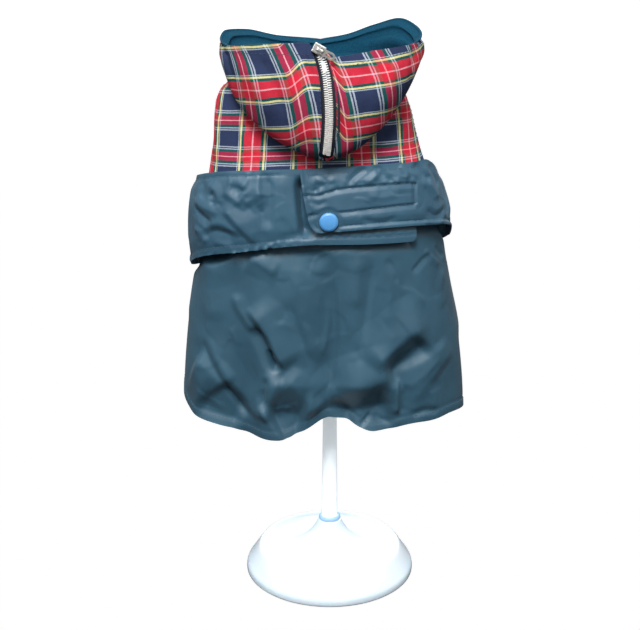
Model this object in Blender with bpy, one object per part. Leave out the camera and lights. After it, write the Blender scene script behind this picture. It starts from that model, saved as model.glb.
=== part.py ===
"""A hooded dog jacket on its round-based dress form, in metres, +Z up, the jacket's back towards -Y.

Cloth pieces are walls. Each is worked out as a grid of points on its outer face, from rings whose sizes
stand in short tables, and then given its thickness inwards. Tables are in millimetres and degrees.
An angle round the body is 0 at the middle of the back, positive towards +X and 180 at the belly.
"""

import math

import bpy
import bmesh
import numpy as np
from mathutils import Matrix, Vector

MM = 0.001

# Driving sizes, in millimetres.
SEAM_GAP = 0.75
TARTAN_WALL = 1.2
LINING_WALL = 1.0
LINING_GAP = 1.1
NYLON_WALL = 1.6
BELT_WALL = 1.9
ZIP_CHAIN_WIDTH = 5.8
ZIP_TAPE_WALL = 0.7
SNAP_RADIUS = 6.6
SNAP_HEIGHT = 3.1
SNAP_ANGLE = 4.2
SNAP_Z = 295.0
STEM_FOOT_RADIUS = 6.4
STEM_TIP_RADIUS = 4.4
STEM_FOOT_Z = 21.0
STEM_TIP_Z = 214.0
STEM_CLEARANCE = 0.36
SIDE_SEAM_DEG = 104.0
SIDE_SEAM_GAP_DEG = 0.62
WAIST_SEAM_DROP = 8.0

# The body that the cloth hangs round: height, middle in x, half width, depth of back and belly, squareness.
BODY = np.array([
    (126, -4.5, 106.0, 43.0, 30.0, 2.3),
    (150, -4.8, 105.3, 44.0, 32.0, 2.3),
    (200, -5.5, 100.6, 45.0, 36.0, 2.4),
    (230, -5.8, 95.4, 45.0, 37.4, 2.4),
    (251, -6.0, 91.6, 44.6, 38.0, 2.4),
    (300, -7.2, 84.0, 43.5, 38.5, 2.4),
    (320, -8.6, 78.5, 41.5, 38.0, 2.4),
    (345, -11.0, 72.5, 37.5, 37.0, 2.3),
    (365, -12.6, 69.3, 33.0, 36.0, 2.3),
    (378, -13.6, 64.5, 28.5, 34.0, 2.2),
    (386, -12.6, 55.0, 25.5, 32.0, 2.1),
    (391, -11.0, 47.0, 23.0, 30.0, 2.0),
])
# The waist belt's outer face, in the same columns.
BELT = np.array([
    (232, -6.5, 94.4, 49.4, 43.0, 2.5),
    (252, -6.6, 95.2, 50.4, 43.5, 2.5),
    (276, -6.8, 94.6, 51.0, 43.5, 2.5),
    (295, -8.2, 92.2, 50.2, 43.0, 2.5),
    (310, -9.0, 88.6, 48.2, 42.5, 2.5),
    (322, -9.2, 85.4, 46.2, 42.0, 2.5),
    (336, -9.4, 80.6, 43.8, 41.0, 2.5),
])
# The dress form, in the same columns. It leans with the jacket, and its shoulders carry the yoke.
FORM = np.array([
    (180, -2.5, 30.0, 19.0, 19.0, 2.0),
    (200, -3.5, 48.0, 27.0, 26.0, 2.0),
    (240, -5.0, 60.0, 33.0, 27.0, 2.1),
    (290, -7.0, 66.0, 35.0, 27.5, 2.2),
    (330, -10.0, 67.0, 34.5, 27.5, 2.2),
    (352, -11.6, 67.0, 33.0, 28.5, 2.3),
    (365, -12.6, 66.4, 30.4, 31.0, 2.3),
    (378, -13.6, 61.4, 25.6, 31.0, 2.2),
    (385, -12.8, 52.0, 22.4, 28.4, 2.1),
    (390, -11.4, 40.0, 18.8, 24.2, 2.0),
    (393, -11.0, 33.0, 16.0, 19.5, 2.0),
])
# The base's outline from its ground edge to the collar that the stem stands in: radius and height.
BASE_PROFILE = [
    (64.0, 0.0),
    (65.0, 1.2),
    (65.0, 4.4),
    (64.1, 6.8),
    (61.8, 10.2),
    (58.6, 15.0),
    (55.9, 19.0),
    (54.4, 20.7),
    (52.7, 21.4),
    (51.1, 20.8),
    (49.0, 19.0),
    (45.5, 17.8),
    (40.0, 17.9),
    (33.0, 19.4),
    (26.0, 22.4),
    (20.0, 26.4),
    (15.0, 31.2),
    (11.6, 36.2),
    (9.6, 40.2),
    (8.9, 41.6),
    (8.0, 42.0),
]
FORM_FOOT_Z = 174.0
FORM_NECK_Z = 396.5

# Edge heights round the body: the angle, the belt's top, the under strap's bottom and the flap's bottom.
BELT_EDGES = np.array([
    (-180, 306, 238, 238),
    (-105, 313, 246, 246),
    (-85, 317, 251, 251),
    (-62, 323, 262, 262),
    (-40, 328, 270, 272),
    (0, 331, 278, 287),
    (35, 333, 278, 290),
    (60, 333, 276, 287),
    (85, 321, 268, 279),
    (105, 315, 258, 268),
    (180, 306, 238, 238),
])
# The skirt's hem: the angle and the height. Two points hang either side of a notch at the tail.
HEM = np.array([
    (-106, 165),
    (-90, 154),
    (-70, 145),
    (-46, 135.5),
    (-27, 129),
    (-15, 128),
    (-7, 136),
    (2.5, 145),
    (14, 137),
    (21, 133.4),
    (27, 134),
    (40, 139),
    (58, 141.5),
    (80, 140),
    (96, 138),
    (106, 142),
])
SKIRT_SIDE_DEG = 106.0
STRAP_END_DEG = 44.0
FLAP_FOOT_DEG = -3.4
FLAP_SLANT_DEG = 5.0
# The strap's and the flap's free lower corners: their roundness in degrees and the share of the height.
STRAP_CORNER_DEG = 3.0
FLAP_CORNER_DEG = 3.4
CORNER_REACH = 0.2
# Where the strap dips behind the flap, and how far it stays clear of it.
STRAP_DIP_DEG = (-42.0, -16.0)
STRAP_CLEARANCE = 0.55
BELLY_SEAM_DEG = 0.52
# Soft ridges (+) and troughs (-) of the skirt: angle at the foot and at the head, their heights,
# half width in degrees and depth.
SKIRT_FOLDS = np.array([
    (-20, 129, -30, 300, 7.5, 4.5),
    (-33, 129, -24, 232, 7.0, -5.0),
    (2, 145, 5, 285, 7.0, -3.6),
    (15, 134, 11, 290, 6.0, 3.6),
    (30, 134, 34, 215, 7.0, -3.4),
    (46, 140, 40, 260, 9.0, 3.0),
    (-56, 136, -50, 250, 9.0, 2.8),
])

# The hood's neck seam and its rim as rings: middle in x and y, half width, back, front, squareness.
NECK_RING = (-11.0, 0.0, 46.0, 22.5, 30.0, 2.0)
RIM_RING = (-6.8, -8.0, 69.0, 58.0, 46.0, 2.15)
NECK_Z = 392.2
YOKE_CLEARANCE = 0.9
# Round the hood: the angle, the rim's height and the lowest height of the cloth below it.
HOOD_HEIGHTS = np.array([
    (-180, 408, 394),
    (-155, 411, 395),
    (-132, 417, 396),
    (-110, 418.5, 396),
    (-90, 414, 393),
    (-76, 413, 386),
    (-62, 414, 373),
    (-50, 415.5, 364),
    (-37, 417.5, 354.5),
    (-21, 419, 345.5),
    (-7, 420, 339.5),
    (1, 418.5, 338),
    (9, 410.5, 339.5),
    (21, 412.5, 345),
    (36, 414.5, 355),
    (50, 415, 367),
    (62, 415, 377.5),
    (77, 415.5, 389),
    (90, 417, 394),
    (110, 421.5, 397),
    (128, 425, 397),
    (148, 419, 396),
    (165, 411.5, 395),
    (180, 408, 394),
])
# From neck seam to rim: share of the way, share of the plan distance, share of the drop and of the rise.
HOOD_PROFILE = np.array([
    (0.00, 0.00, 0.00, 0.00),
    (0.06, 0.15, 0.05, 0.00),
    (0.12, 0.26, 0.17, 0.00),
    (0.22, 0.37, 0.50, 0.00),
    (0.34, 0.48, 0.86, 0.00),
    (0.44, 0.61, 1.00, 0.00),
    (0.54, 0.80, 1.00, 0.07),
    (0.66, 0.96, 1.00, 0.29),
    (0.80, 1.05, 1.00, 0.60),
    (1.00, 1.00, 1.00, 1.00),
])
HOOD_ROWS = (0.0, 0.07, 0.14, 0.22, 0.31, 0.39, 0.46, 0.52, 0.59, 0.67, 0.77, 0.88, 1.0)
ZIP_FOOT_SHARE = 0.50
ZIP_STRIP_START = 0.045
ZIP_TAPE_TOP_SHARE = 0.985
ZIP_TAPE_INNER = 1.5
ZIP_TAPE_BORDER = 1.3
ZIP_TAPE_SET_BACK = 0.28
ZIP_CHAIN_OUT = 1.7
ZIP_CHAIN_WALL = 1.6
ZIP_CHAIN_STOP = 0.045
# How far the hood's panels and their linings stay from the chain and from the throat's seam.
HOOD_BESIDE_ZIP = 2.1
LINING_BESIDE_ZIP = 3.2
THROAT_GAP_DEG = 0.4
LINING_THROAT_GAP_DEG = 1.8
# The right panel's turned-in valley beside the zip: its angle, half width in degrees and depth.
ZIP_VALLEY = (8.5, 4.5, 4.5)
# How far the middle seam and zip stand towards +X: share of the way and the shift.
ZIP_LINE = np.array([
    (0.0, 0.0),
    (0.3, 3.6),
    (0.5, 4.2),
    (0.7, 5.4),
    (0.85, 3.8),
    (0.94, 0.6),
    (1.0, -2.6),
])
SLIDER_SHARE = 0.982
SLIDER_LEAN_DEG = 42.0
PULL_LENGTH = 11.0
PULL_WIDTH = 5.0
PULL_THICKNESS = 1.1
PULL_DROP_DEG = 4.0
# Where the pull's pin crosses the slider: along the zip from its middle, and out from the cloth.
PIN_Y = 0.9
PIN_Z = 3.3
PIN_RADIUS = 0.5
SLIDER_BORE_RADIUS = 0.95
SLIDER_BODY = (6.8, 8.2, 1.4)
SLIDER_BODY_OUT = 1.15
SLIDER_CROWN = (2.2, 4.4, 3.4)
SLIDER_CROWN_OUT = 3.0
SLIDER_BACK_RADIUS = 2.3
SLIDER_BACK_WALL = 0.8
SLIDER_BACK_PLACE = (-0.4, 0.0, -1.8)
SLIDER_POST_RADIUS = 0.95
SLIDER_POST_LENGTH = 3.6
PULL_CHEEK = 1.45
PULL_SLOT = (2.2, 5.0, 3.0)
PULL_FORK_LENGTH = 7.2

ARMHOLE_ANGLE = 140.0
ARMHOLE_Z = 348.0
ARMHOLE_WIDTH = 26.0
ARMHOLE_HEIGHT = 44.0
ARMHOLE_CUT_DEPTH = 24.0

# (name, base colour, roughness, metallic)
FINISHES = {
    "tartan": ((0.06, 0.07, 0.12), 0.85, 0.0),
    "fleece": ((0.01, 0.09, 0.13), 0.95, 0.0),
    "nylon": ((0.03, 0.08, 0.12), 0.38, 0.0),
    "zip_tape": ((0.01, 0.012, 0.02), 0.8, 0.0),
    "zip_metal": ((0.72, 0.70, 0.64), 0.3, 1.0),
    "snap_plastic": ((0.08, 0.30, 0.70), 0.3, 0.0),
    "stand_plastic": ((0.86, 0.90, 0.94), 0.25, 0.0),
}


def clear_scene():
    for obj in list(bpy.data.objects):
        bpy.data.objects.remove(obj, do_unlink=True)


def material(name):
    found = bpy.data.materials.get(name)
    if found:
        return found
    colour, roughness, metallic = FINISHES[name]
    made = bpy.data.materials.new(name)
    made.use_nodes = True
    shader = made.node_tree.nodes["Principled BSDF"]
    shader.inputs["Base Color"].default_value = (*colour, 1.0)
    shader.inputs["Roughness"].default_value = roughness
    shader.inputs["Metallic"].default_value = metallic
    return made


def smooth_step(low, high, value):
    share = np.clip((np.asarray(value, float) - low) / (high - low), 0.0, 1.0)
    return share * share * (3.0 - 2.0 * share)


def along(table, column, at):
    """A column of a table read at any place in its first column, on a smooth line with no overshoot."""
    known, values = table[:, 0], table[:, column]
    at = np.clip(np.asarray(at, float), known[0], known[-1])
    step, rise = np.diff(known), np.diff(values)
    grade = rise / step
    slope = np.zeros(len(known))
    slope[0], slope[-1] = grade[0], grade[-1]
    same_way = grade[:-1] * grade[1:] > 0
    harmonic = 2.0 * grade[:-1] * grade[1:] / np.where(same_way, grade[:-1] + grade[1:], 1.0)
    slope[1:-1] = np.where(same_way, harmonic, 0.0)
    index = np.clip(np.searchsorted(known, at, side="right") - 1, 0, len(step) - 1)
    width = step[index]
    share = (at - known[index]) / width
    start, end = values[index], values[index + 1]
    a = 2 * share**3 - 3 * share**2 + 1
    b = share**3 - 2 * share**2 + share
    c = share**3 - share**2
    return a * start + b * width * slope[index] + (1 - a) * end + c * width * slope[index + 1]


def ring_point(middle_x, middle_y, half_width, back, front, power, angle):
    """Where an angle falls on a rounded ring, as x and y."""
    turn = np.radians(angle)
    side, ahead = np.sin(turn), np.cos(turn)
    reach = (np.abs(side) ** power + np.abs(ahead) ** power) ** (-1.0 / power)
    depth = np.where(ahead > 0, back, front)
    return middle_x + half_width * side * reach, middle_y - depth * ahead * reach


def body_point(table, angle, height, out=0.0):
    """A point on the tube that a table of rings describes, moved out by a number of millimetres."""
    middle, half, back, front, power = (along(table, column, height) for column in range(1, 6))
    x, y = ring_point(middle, 0.0, half + out, back + out, front + out, power, angle)
    return np.stack([x, y, np.broadcast_to(height, x.shape)], axis=-1)


def grid(rows, columns):
    """Shares from 0 to 1 up and along a panel."""
    return np.meshgrid(np.linspace(0, 1, rows), np.linspace(0, 1, columns), indexing="ij")


def facing_back(angle):
    """The same angle, between -180 and 180."""
    return (angle + 180.0) % 360.0 - 180.0


def face_points(surface, angle, share, depth):
    """Points of a surface moved in along its normal. surface gives a point for an angle and a share."""
    turn, step = 0.05, 0.001
    across = surface(angle + turn, share) - surface(angle - turn, share)
    ahead = surface(angle, np.minimum(share + step, 1.0)) - surface(angle, np.maximum(share - step, 0.0))
    normal = np.cross(across, ahead)
    normal /= np.maximum(np.linalg.norm(normal, axis=-1, keepdims=True), 1e-9)
    return surface(angle, share) - normal * np.asarray(depth)[..., None]


def wall(name, finish, surface, angle, share, thickness, depth=0.0):
    """A cloth panel: the part of a surface over a grid of angles and shares, with a thickness inwards."""
    outer = face_points(surface, angle, share, depth)
    inner = face_points(surface, angle, share, depth + thickness)
    rows, columns = angle.shape
    mesh = bmesh.new()
    front, back = (
        [[mesh.verts.new(Vector(point) * MM) for point in row] for row in layer]
        for layer in (outer, inner)
    )
    for i in range(rows - 1):
        for j in range(columns - 1):
            mesh.faces.new((front[i][j], front[i][j + 1], front[i + 1][j + 1], front[i + 1][j]))
            mesh.faces.new((back[i][j + 1], back[i][j], back[i + 1][j], back[i + 1][j + 1]))
    for j in range(columns - 1):
        mesh.faces.new((front[0][j + 1], front[0][j], back[0][j], back[0][j + 1]))
        mesh.faces.new((front[-1][j], front[-1][j + 1], back[-1][j + 1], back[-1][j]))
    for i in range(rows - 1):
        mesh.faces.new((front[i][0], front[i + 1][0], back[i + 1][0], back[i][0]))
        mesh.faces.new((front[i + 1][-1], front[i][-1], back[i][-1], back[i + 1][-1]))
    return finish_object(name, finish, mesh)


def finish_object(name, finish, mesh):
    bmesh.ops.recalc_face_normals(mesh, faces=mesh.faces[:])
    data = bpy.data.meshes.new(name)
    mesh.to_mesh(data)
    mesh.free()
    data.shade_smooth()
    data.set_sharp_from_angle(angle=math.radians(40))
    data.materials.append(material(finish))
    obj = bpy.data.objects.new(name, data)
    bpy.context.scene.collection.objects.link(obj)
    return obj


def turned(name, finish, profile, segments=48):
    """A solid turned about Z from a profile of radius and height that starts and ends on the axis."""
    mesh = bmesh.new()
    rings = []
    for radius, height in profile:
        if radius < 1e-6:
            rings.append([mesh.verts.new((0, 0, height * MM))])
            continue
        turns = (2 * math.pi * k / segments for k in range(segments))
        points = (Vector((radius * math.cos(turn), radius * math.sin(turn), height)) for turn in turns)
        rings.append([mesh.verts.new(point * MM) for point in points])
    for lower, upper in zip(rings, rings[1:]):
        for k in range(segments):
            corners = [lower[k % len(lower)], lower[(k + 1) % len(lower)]]
            corners += [upper[(k + 1) % len(upper)], upper[k % len(upper)]]
            mesh.faces.new(list(dict.fromkeys(corners)))
    return finish_object(name, finish, mesh)


# ---------------------------------------------------------------- stand


def stand_base():
    """A flat-bottomed base: a sloping wall up to a round crest, a dish inside it and a flared cone."""
    socket, floor = STEM_FOOT_RADIUS + STEM_CLEARANCE, STEM_FOOT_Z - STEM_CLEARANCE
    profile = [(0, 0)] + [tuple(point) for point in BASE_PROFILE]
    profile += [(socket, BASE_PROFILE[-1][1]), (socket, floor), (0, floor)]
    return turned("stand_base", "stand_plastic", profile, segments=40)


def stand_stem():
    profile = [(0, STEM_FOOT_Z), (STEM_FOOT_RADIUS, STEM_FOOT_Z)]
    profile += [(STEM_TIP_RADIUS, STEM_TIP_Z), (0, STEM_TIP_Z)]
    return turned("stand_stem", "stand_plastic", profile, segments=32)


def stand_form():
    """A limbless torso with a short neck, closed above and below, with a blind socket for the stem."""
    columns = 40
    angles = np.arange(columns) * 360.0 / columns
    heights = np.concatenate([
        np.linspace(FORM[0, 0], 352, 10),
        np.array([359, 365, 371, 377, 382, 386, 390, FORM[-1, 0]]),
    ])
    rings = [body_point(FORM, angles, np.full(columns, height)) for height in heights]
    rings = [cap_ring(rings[0], FORM_FOOT_Z, share) for share in (0.42, 0.8)] + rings
    rings += [cap_ring(rings[-1], FORM_NECK_Z, share) for share in (0.85, 0.5)]
    mesh = bmesh.new()
    loops = [[mesh.verts.new(Vector(point) * MM) for point in ring] for ring in rings]
    for lower, upper in zip(loops, loops[1:]):
        for j in range(columns):
            k = (j + 1) % columns
            mesh.faces.new((lower[j], lower[k], upper[k], upper[j]))
    mesh.faces.new(loops[0][::-1])
    mesh.faces.new(loops[-1])
    form = finish_object("stand_form", "stand_plastic", mesh)
    socket = turned("stem_socket_cutter", "stand_plastic", [
        (0, FORM_FOOT_Z - 12),
        (STEM_FOOT_RADIUS, FORM_FOOT_Z - 12),
        (STEM_TIP_RADIUS + 0.75, FORM_FOOT_Z - 1),
        (STEM_TIP_RADIUS + 0.35, STEM_TIP_Z + STEM_CLEARANCE),
        (0, STEM_TIP_Z + STEM_CLEARANCE),
    ], segments=32)
    cut(form, socket)
    return form


def cap_ring(ring, height, share):
    """A ring drawn in towards its middle, most of the way to a flat end, to round a closed end off."""
    middle = ring.mean(axis=0)
    moved = middle + (ring - middle) * share
    drop = math.sqrt(1.0 - share**2)
    moved[:, 2] = ring[:, 2] + (height - ring[:, 2]) * drop
    return moved


def cut(obj, cutter):
    cutter.hide_render = True
    cutter.display_type = "WIRE"
    modifier = obj.modifiers.new("cut_" + cutter.name, "BOOLEAN")
    modifier.operation = "DIFFERENCE"
    modifier.solver = "EXACT"
    modifier.object = cutter


# ---------------------------------------------------------------- skirt and yoke


def seam_height(angle):
    """The waist seam between yoke and skirt, hidden under the belt's top edge."""
    return along(BELT_EDGES, 1, angle) - WAIST_SEAM_DROP


def skirt_folds(angle, height):
    """How far the skirt's soft folds stand out, in millimetres."""
    out = np.zeros_like(angle)
    for foot_angle, foot_z, head_angle, head_z, half_width, depth in SKIRT_FOLDS:
        rise = np.clip((height - foot_z) / (head_z - foot_z), 0.0, 1.0)
        middle = foot_angle + (head_angle - foot_angle) * rise
        fade = (1.0 - rise) ** 0.8 * smooth_step(head_z, head_z - 30.0, height)
        out = out + depth * fade * np.exp(-(((angle - middle) / half_width) ** 2))
    return out


def skirt_surface(angle, share):
    hem = along(HEM, 1, angle)
    height = hem + (seam_height(angle) - SEAM_GAP - hem) * share
    return body_point(BODY, angle, height, skirt_folds(angle, height))


def skirt():
    share, side = grid(12, 39)
    wall("skirt", "nylon", skirt_surface, SKIRT_SIDE_DEG * (2 * side - 1), share, NYLON_WALL)


def yoke_surface(angle, share):
    low = seam_height(facing_back(angle))
    return body_point(BODY, angle, low + (BODY[-1, 0] - low) * share)


def yoke_panel(name, first, last, columns):
    share, side = grid(10, columns)
    return wall(name, "tartan", yoke_surface, first + (last - first) * side, share**0.8, TARTAN_WALL)


def yoke_back():
    edge = SIDE_SEAM_DEG - SIDE_SEAM_GAP_DEG
    yoke_panel("yoke_back", -edge, edge, 27)


def yoke_front():
    """The chest panel, with an armhole on each side for the front legs."""
    panel = yoke_panel("yoke_front", SIDE_SEAM_DEG, 360 - SIDE_SEAM_DEG, 17)
    for side in (-1, 1):
        cut(panel, armhole_cutter(side))


def armhole_cutter(side):
    """An upright oval drum that stands square to the chest panel where a front leg comes out."""
    centre = body_point(BODY, np.array(side * ARMHOLE_ANGLE), np.array(ARMHOLE_Z))
    turn = math.radians(ARMHOLE_ANGLE)
    out = Vector((side * math.sin(turn) * 0.8, -math.cos(turn), 0))
    mesh = bmesh.new()
    bmesh.ops.create_cone(mesh, cap_ends=True, segments=28, radius1=0.5, radius2=0.5, depth=1.0)
    name = "armhole_cutter_" + ("right" if side > 0 else "left")
    obj = finish_object(name, "tartan", mesh)
    size = Matrix.Diagonal((ARMHOLE_WIDTH * MM, ARMHOLE_HEIGHT * MM, ARMHOLE_CUT_DEPTH * MM, 1))
    facing = out.to_track_quat("Z", "Y").to_matrix().to_4x4()
    obj.data.transform(Matrix.Translation(Vector(centre) * MM) @ facing @ size)
    return obj


# ---------------------------------------------------------------- belt


def belt_surface(low_column, out):
    """The belt's outer face over a column of bottom edges, moved out by a function of the angle."""
    def surface(angle, share):
        wrapped = facing_back(angle)
        low, high = along(BELT_EDGES, low_column, wrapped), along(BELT_EDGES, 1, wrapped)
        return body_point(BELT, angle, low + (high - low) * share, out(wrapped))
    return surface


def level(angle):
    return 0.0 * angle


def under_depth(angle):
    """The under strap dips behind the flap that covers it."""
    return -(BELT_WALL + STRAP_CLEARANCE) * smooth_step(*STRAP_DIP_DEG, angle)


def rounded_corner(share, size):
    """How far a strap's free end is drawn back near its lower corner."""
    near = np.clip(1.0 - share / CORNER_REACH, 0.0, 1.0)
    return size * (1.0 - np.sqrt(1.0 - near**2))


def belt():
    side_seam = SIDE_SEAM_DEG
    share, side = grid(6, 23)
    end = STRAP_END_DEG - rounded_corner(share, STRAP_CORNER_DEG)
    angle = -side_seam + (end + side_seam) * side
    wall("belt_strap", "nylon", belt_surface(2, under_depth), angle, share, BELT_WALL)
    share, side = grid(6, 19)
    end = FLAP_FOOT_DEG - FLAP_SLANT_DEG * share + rounded_corner(share, FLAP_CORNER_DEG)
    wall("belt_flap", "nylon", belt_surface(3, level), end + (side_seam - end) * side, share, BELT_WALL)
    share, side = grid(4, 17)
    first, last = side_seam + BELLY_SEAM_DEG, 360 - side_seam - BELLY_SEAM_DEG
    wall("belt_belly", "nylon", belt_surface(3, level), first + (last - first) * side, share, BELT_WALL)


def snap_cap():
    """The domed cap of the press stud, seated on the flap near its free end."""
    angle, height = np.array(SNAP_ANGLE), np.array(SNAP_Z)
    centre = body_point(BELT, angle, height)
    beside = body_point(BELT, angle + 1.0, height) - centre
    above = body_point(BELT, angle, height + 2.0) - centre
    out = Vector(np.cross(beside, above)).normalized()
    profile = [(0, 0.35), (SNAP_RADIUS - 1.0, 0.35), (SNAP_RADIUS, 1.0), (SNAP_RADIUS - 0.3, 1.9)]
    profile += [(SNAP_RADIUS - 1.5, 2.6), (SNAP_RADIUS * 0.4, SNAP_HEIGHT - 0.1), (0, SNAP_HEIGHT)]
    cap = turned("snap_cap", "snap_plastic", profile, segments=32)
    turn = out.to_track_quat("Z", "Y").to_matrix().to_4x4()
    cap.matrix_world = Matrix.Translation(Vector(centre) * MM) @ turn
    return cap


# ---------------------------------------------------------------- hood and zip


def hood_point(angle, share, out=0.0):
    """A point on the hood's outer face. share runs from the neck seam, down the nape, and up to the rim."""
    neck_x, neck_y = ring_point(*NECK_RING, angle)
    rim_x, rim_y = ring_point(*RIM_RING, angle)
    rim_z, low_z = along(HOOD_HEIGHTS, 1, angle), along(HOOD_HEIGHTS, 2, angle)
    plan, drop, rise = (along(HOOD_PROFILE, column, share) for column in (1, 2, 3))
    shift = along(ZIP_LINE, 1, share) * np.cos(np.radians(angle)).clip(0) ** 3
    x = neck_x + (rim_x - neck_x) * plan + shift
    y = neck_y + (rim_y - neck_y) * plan
    z = NECK_Z + (low_z - NECK_Z) * drop + (rim_z - low_z) * rise
    return np.stack([x, y, z], axis=-1)


def zip_valley(angle, share):
    """The right panel turns in beside the zip, deepest half way up."""
    middle, half_width, depth = ZIP_VALLEY
    across = np.exp(-(((angle - middle) / half_width) ** 2))
    return -depth * across * smooth_step(0.5, 0.72, share) * (1 - 0.5 * share)


def hood_half_width(share):
    return NECK_RING[2] + (RIM_RING[2] - NECK_RING[2]) * along(HOOD_PROFILE, 1, share)


def hood_edge_angle(share, distance):
    """The angle that stands this far from the middle line where the zip runs, closing to a seam below it."""
    parted = smooth_step(ZIP_FOOT_SHARE - 0.05, ZIP_FOOT_SHARE + 0.02, share)
    return np.degrees((SEAM_GAP + (distance - SEAM_GAP) * parted) / hood_half_width(share))


def laid_on_yoke(points):
    """Points of the hood that would sink into the yoke, moved straight out to lie on it."""
    x, y, z = (points[..., k] for k in range(3))
    middle, half, back, front, power = (along(BODY, column, z) for column in range(1, 6))
    depth = np.where(y < 0, back, front) + YOKE_CLEARANCE
    inside = (np.abs(x - middle) / (half + YOKE_CLEARANCE)) ** power + (np.abs(y) / depth) ** power
    push = (np.maximum(inside, 1e-6) ** (-1.0 / power)).clip(1.0)
    push = 1.0 + (push - 1.0) * (1.0 - smooth_step(BODY[-1, 0] + 0.2, BODY[-1, 0] + 4.0, z))
    return np.stack([middle + (x - middle) * push, y * push, z], axis=-1)


def hood_surface(angle, share):
    """The hood's outer face, with the turned-in valley beside the zip and its nape laid on the yoke."""
    angle, share = np.broadcast_arrays(angle, share)
    points = laid_on_yoke(hood_point(angle, share))
    right = np.where(angle > 0, zip_valley(angle, share), 0.0)
    return points - right[..., None] * np.array((0.0, 1.0, 0.0))


def hood():
    lining_depth = TARTAN_WALL + LINING_GAP
    for side, word in ((-1, "left"), (1, "right")):
        for layer, beside_zip, beside_throat, first_row, finish, depth, thickness in (
            ("hood", HOOD_BESIDE_ZIP, THROAT_GAP_DEG, 0, "tartan", 0.0, TARTAN_WALL),
            ("hood_lining", LINING_BESIDE_ZIP, LINING_THROAT_GAP_DEG, 1, "fleece", lining_depth, LINING_WALL),
        ):
            share, along_side = np.meshgrid(HOOD_ROWS[first_row:], np.linspace(0, 1, 19), indexing="ij")
            near = hood_edge_angle(share, ZIP_CHAIN_WIDTH / 2 + beside_zip)
            angle = near + (180.0 - beside_throat - near) * along_side**1.2
            angle = -angle[:, ::-1] if side < 0 else angle
            wall(f"{layer}_{word}", finish, hood_surface, angle, share, thickness, depth)


def zip_strip(name, finish, first, last, top_share, high, thickness):
    """A strip along the zip between two distances from its middle line, with its face this far out."""
    up, side = grid(12, 3)
    foot = ZIP_FOOT_SHARE + ZIP_STRIP_START
    share = foot + (top_share - foot) * up
    angle = np.degrees((first + (last - first) * side) / hood_half_width(share))
    wall(name, finish, hood_point, angle, share, thickness, -high)


def zip_pieces():
    half_chain = ZIP_CHAIN_WIDTH / 2
    for side, word in ((-1, "left"), (1, "right")):
        ends = sorted((side * ZIP_TAPE_INNER, side * (half_chain + ZIP_TAPE_BORDER)))
        zip_strip(
            f"zip_tape_{word}", "zip_tape", *ends, ZIP_TAPE_TOP_SHARE, -ZIP_TAPE_SET_BACK, ZIP_TAPE_WALL
        )
    top = SLIDER_SHARE - ZIP_CHAIN_STOP
    zip_strip("zip_chain", "zip_metal", -half_chain, half_chain, top, ZIP_CHAIN_OUT, ZIP_CHAIN_WALL)
    zip_slider_and_pull()


def block(name, size, centre, bevel=0.0):
    """A box in the slider's own axes: X across, Y along the zip towards its foot, Z out of the cloth."""
    mesh = bmesh.new()
    bmesh.ops.create_cube(mesh, size=1.0)
    bmesh.ops.scale(mesh, vec=Vector(size) * MM, verts=mesh.verts)
    bmesh.ops.translate(mesh, vec=Vector(centre) * MM, verts=mesh.verts)
    if bevel:
        bmesh.ops.bevel(mesh, geom=mesh.edges[:], offset=bevel * MM, segments=2, affect="EDGES", profile=0.5)
    return finish_object(name, "zip_metal", mesh)


def drum(name, radius, length, centre, axis, segments=20):
    """A round bar in the slider's own axes, lying along X or Z."""
    mesh = bmesh.new()
    bmesh.ops.create_cone(
        mesh, cap_ends=True, segments=segments, radius1=radius * MM, radius2=radius * MM, depth=length * MM
    )
    if axis == "X":
        bmesh.ops.rotate(mesh, matrix=Matrix.Rotation(math.radians(90), 3, "Y"), verts=mesh.verts)
    bmesh.ops.translate(mesh, vec=Vector(centre) * MM, verts=mesh.verts)
    return finish_object(name, "zip_metal", mesh)


def combine(obj, other, operation):
    other.hide_render = True
    other.display_type = "WIRE"
    modifier = obj.modifiers.new(f"{operation.lower()}_{other.name}", "BOOLEAN")
    modifier.operation = operation
    modifier.solver = "EXACT"
    modifier.object = other


def zip_slider_and_pull():
    """The slider at the top of the zip and its pull tab, which swings on a pin through the slider's crown."""
    angle = np.array(0.0)
    centre = hood_point(angle, np.array(SLIDER_SHARE))
    down = hood_point(angle, np.array(SLIDER_SHARE - 0.03)) - centre
    beside = hood_point(angle + 1.0, np.array(SLIDER_SHARE)) - centre
    out = Vector(np.cross(beside, -down)).normalized()
    along_zip = Matrix.Rotation(math.radians(SLIDER_LEAN_DEG), 3, out) @ Vector(down)
    along_zip = (along_zip - out * along_zip.dot(out)).normalized()
    across = along_zip.cross(out)
    place = Matrix((across, along_zip, out)).transposed().to_4x4()
    place.translation = Vector(centre) * MM

    slider = block("zip_slider", SLIDER_BODY, (0, 0, SLIDER_BODY_OUT), bevel=0.5)
    back = drum("slider_back_plate", SLIDER_BACK_RADIUS, SLIDER_BACK_WALL, SLIDER_BACK_PLACE, "Z", 28)
    crown = block("slider_crown", SLIDER_CROWN, (0, PIN_Y, SLIDER_CROWN_OUT), bevel=0.45)
    extras = [
        (back, "UNION"),
        (drum("slider_post", SLIDER_POST_RADIUS, SLIDER_POST_LENGTH, (0, 0, -0.2), "Z"), "UNION"),
        (crown, "UNION"),
        (drum("slider_crown_bore", SLIDER_BORE_RADIUS, 6.0, (0, PIN_Y, PIN_Z), "X"), "DIFFERENCE"),
    ]
    for other, operation in extras:
        combine(slider, other, operation)
        other.matrix_world = place
    slider.matrix_world = place

    pin = Matrix.Translation(Vector((0, PIN_Y, PIN_Z)) * MM)
    pull = pull_tab()
    pull.matrix_world = place @ pin @ Matrix.Rotation(math.radians(-PULL_DROP_DEG), 4, "X")


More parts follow.
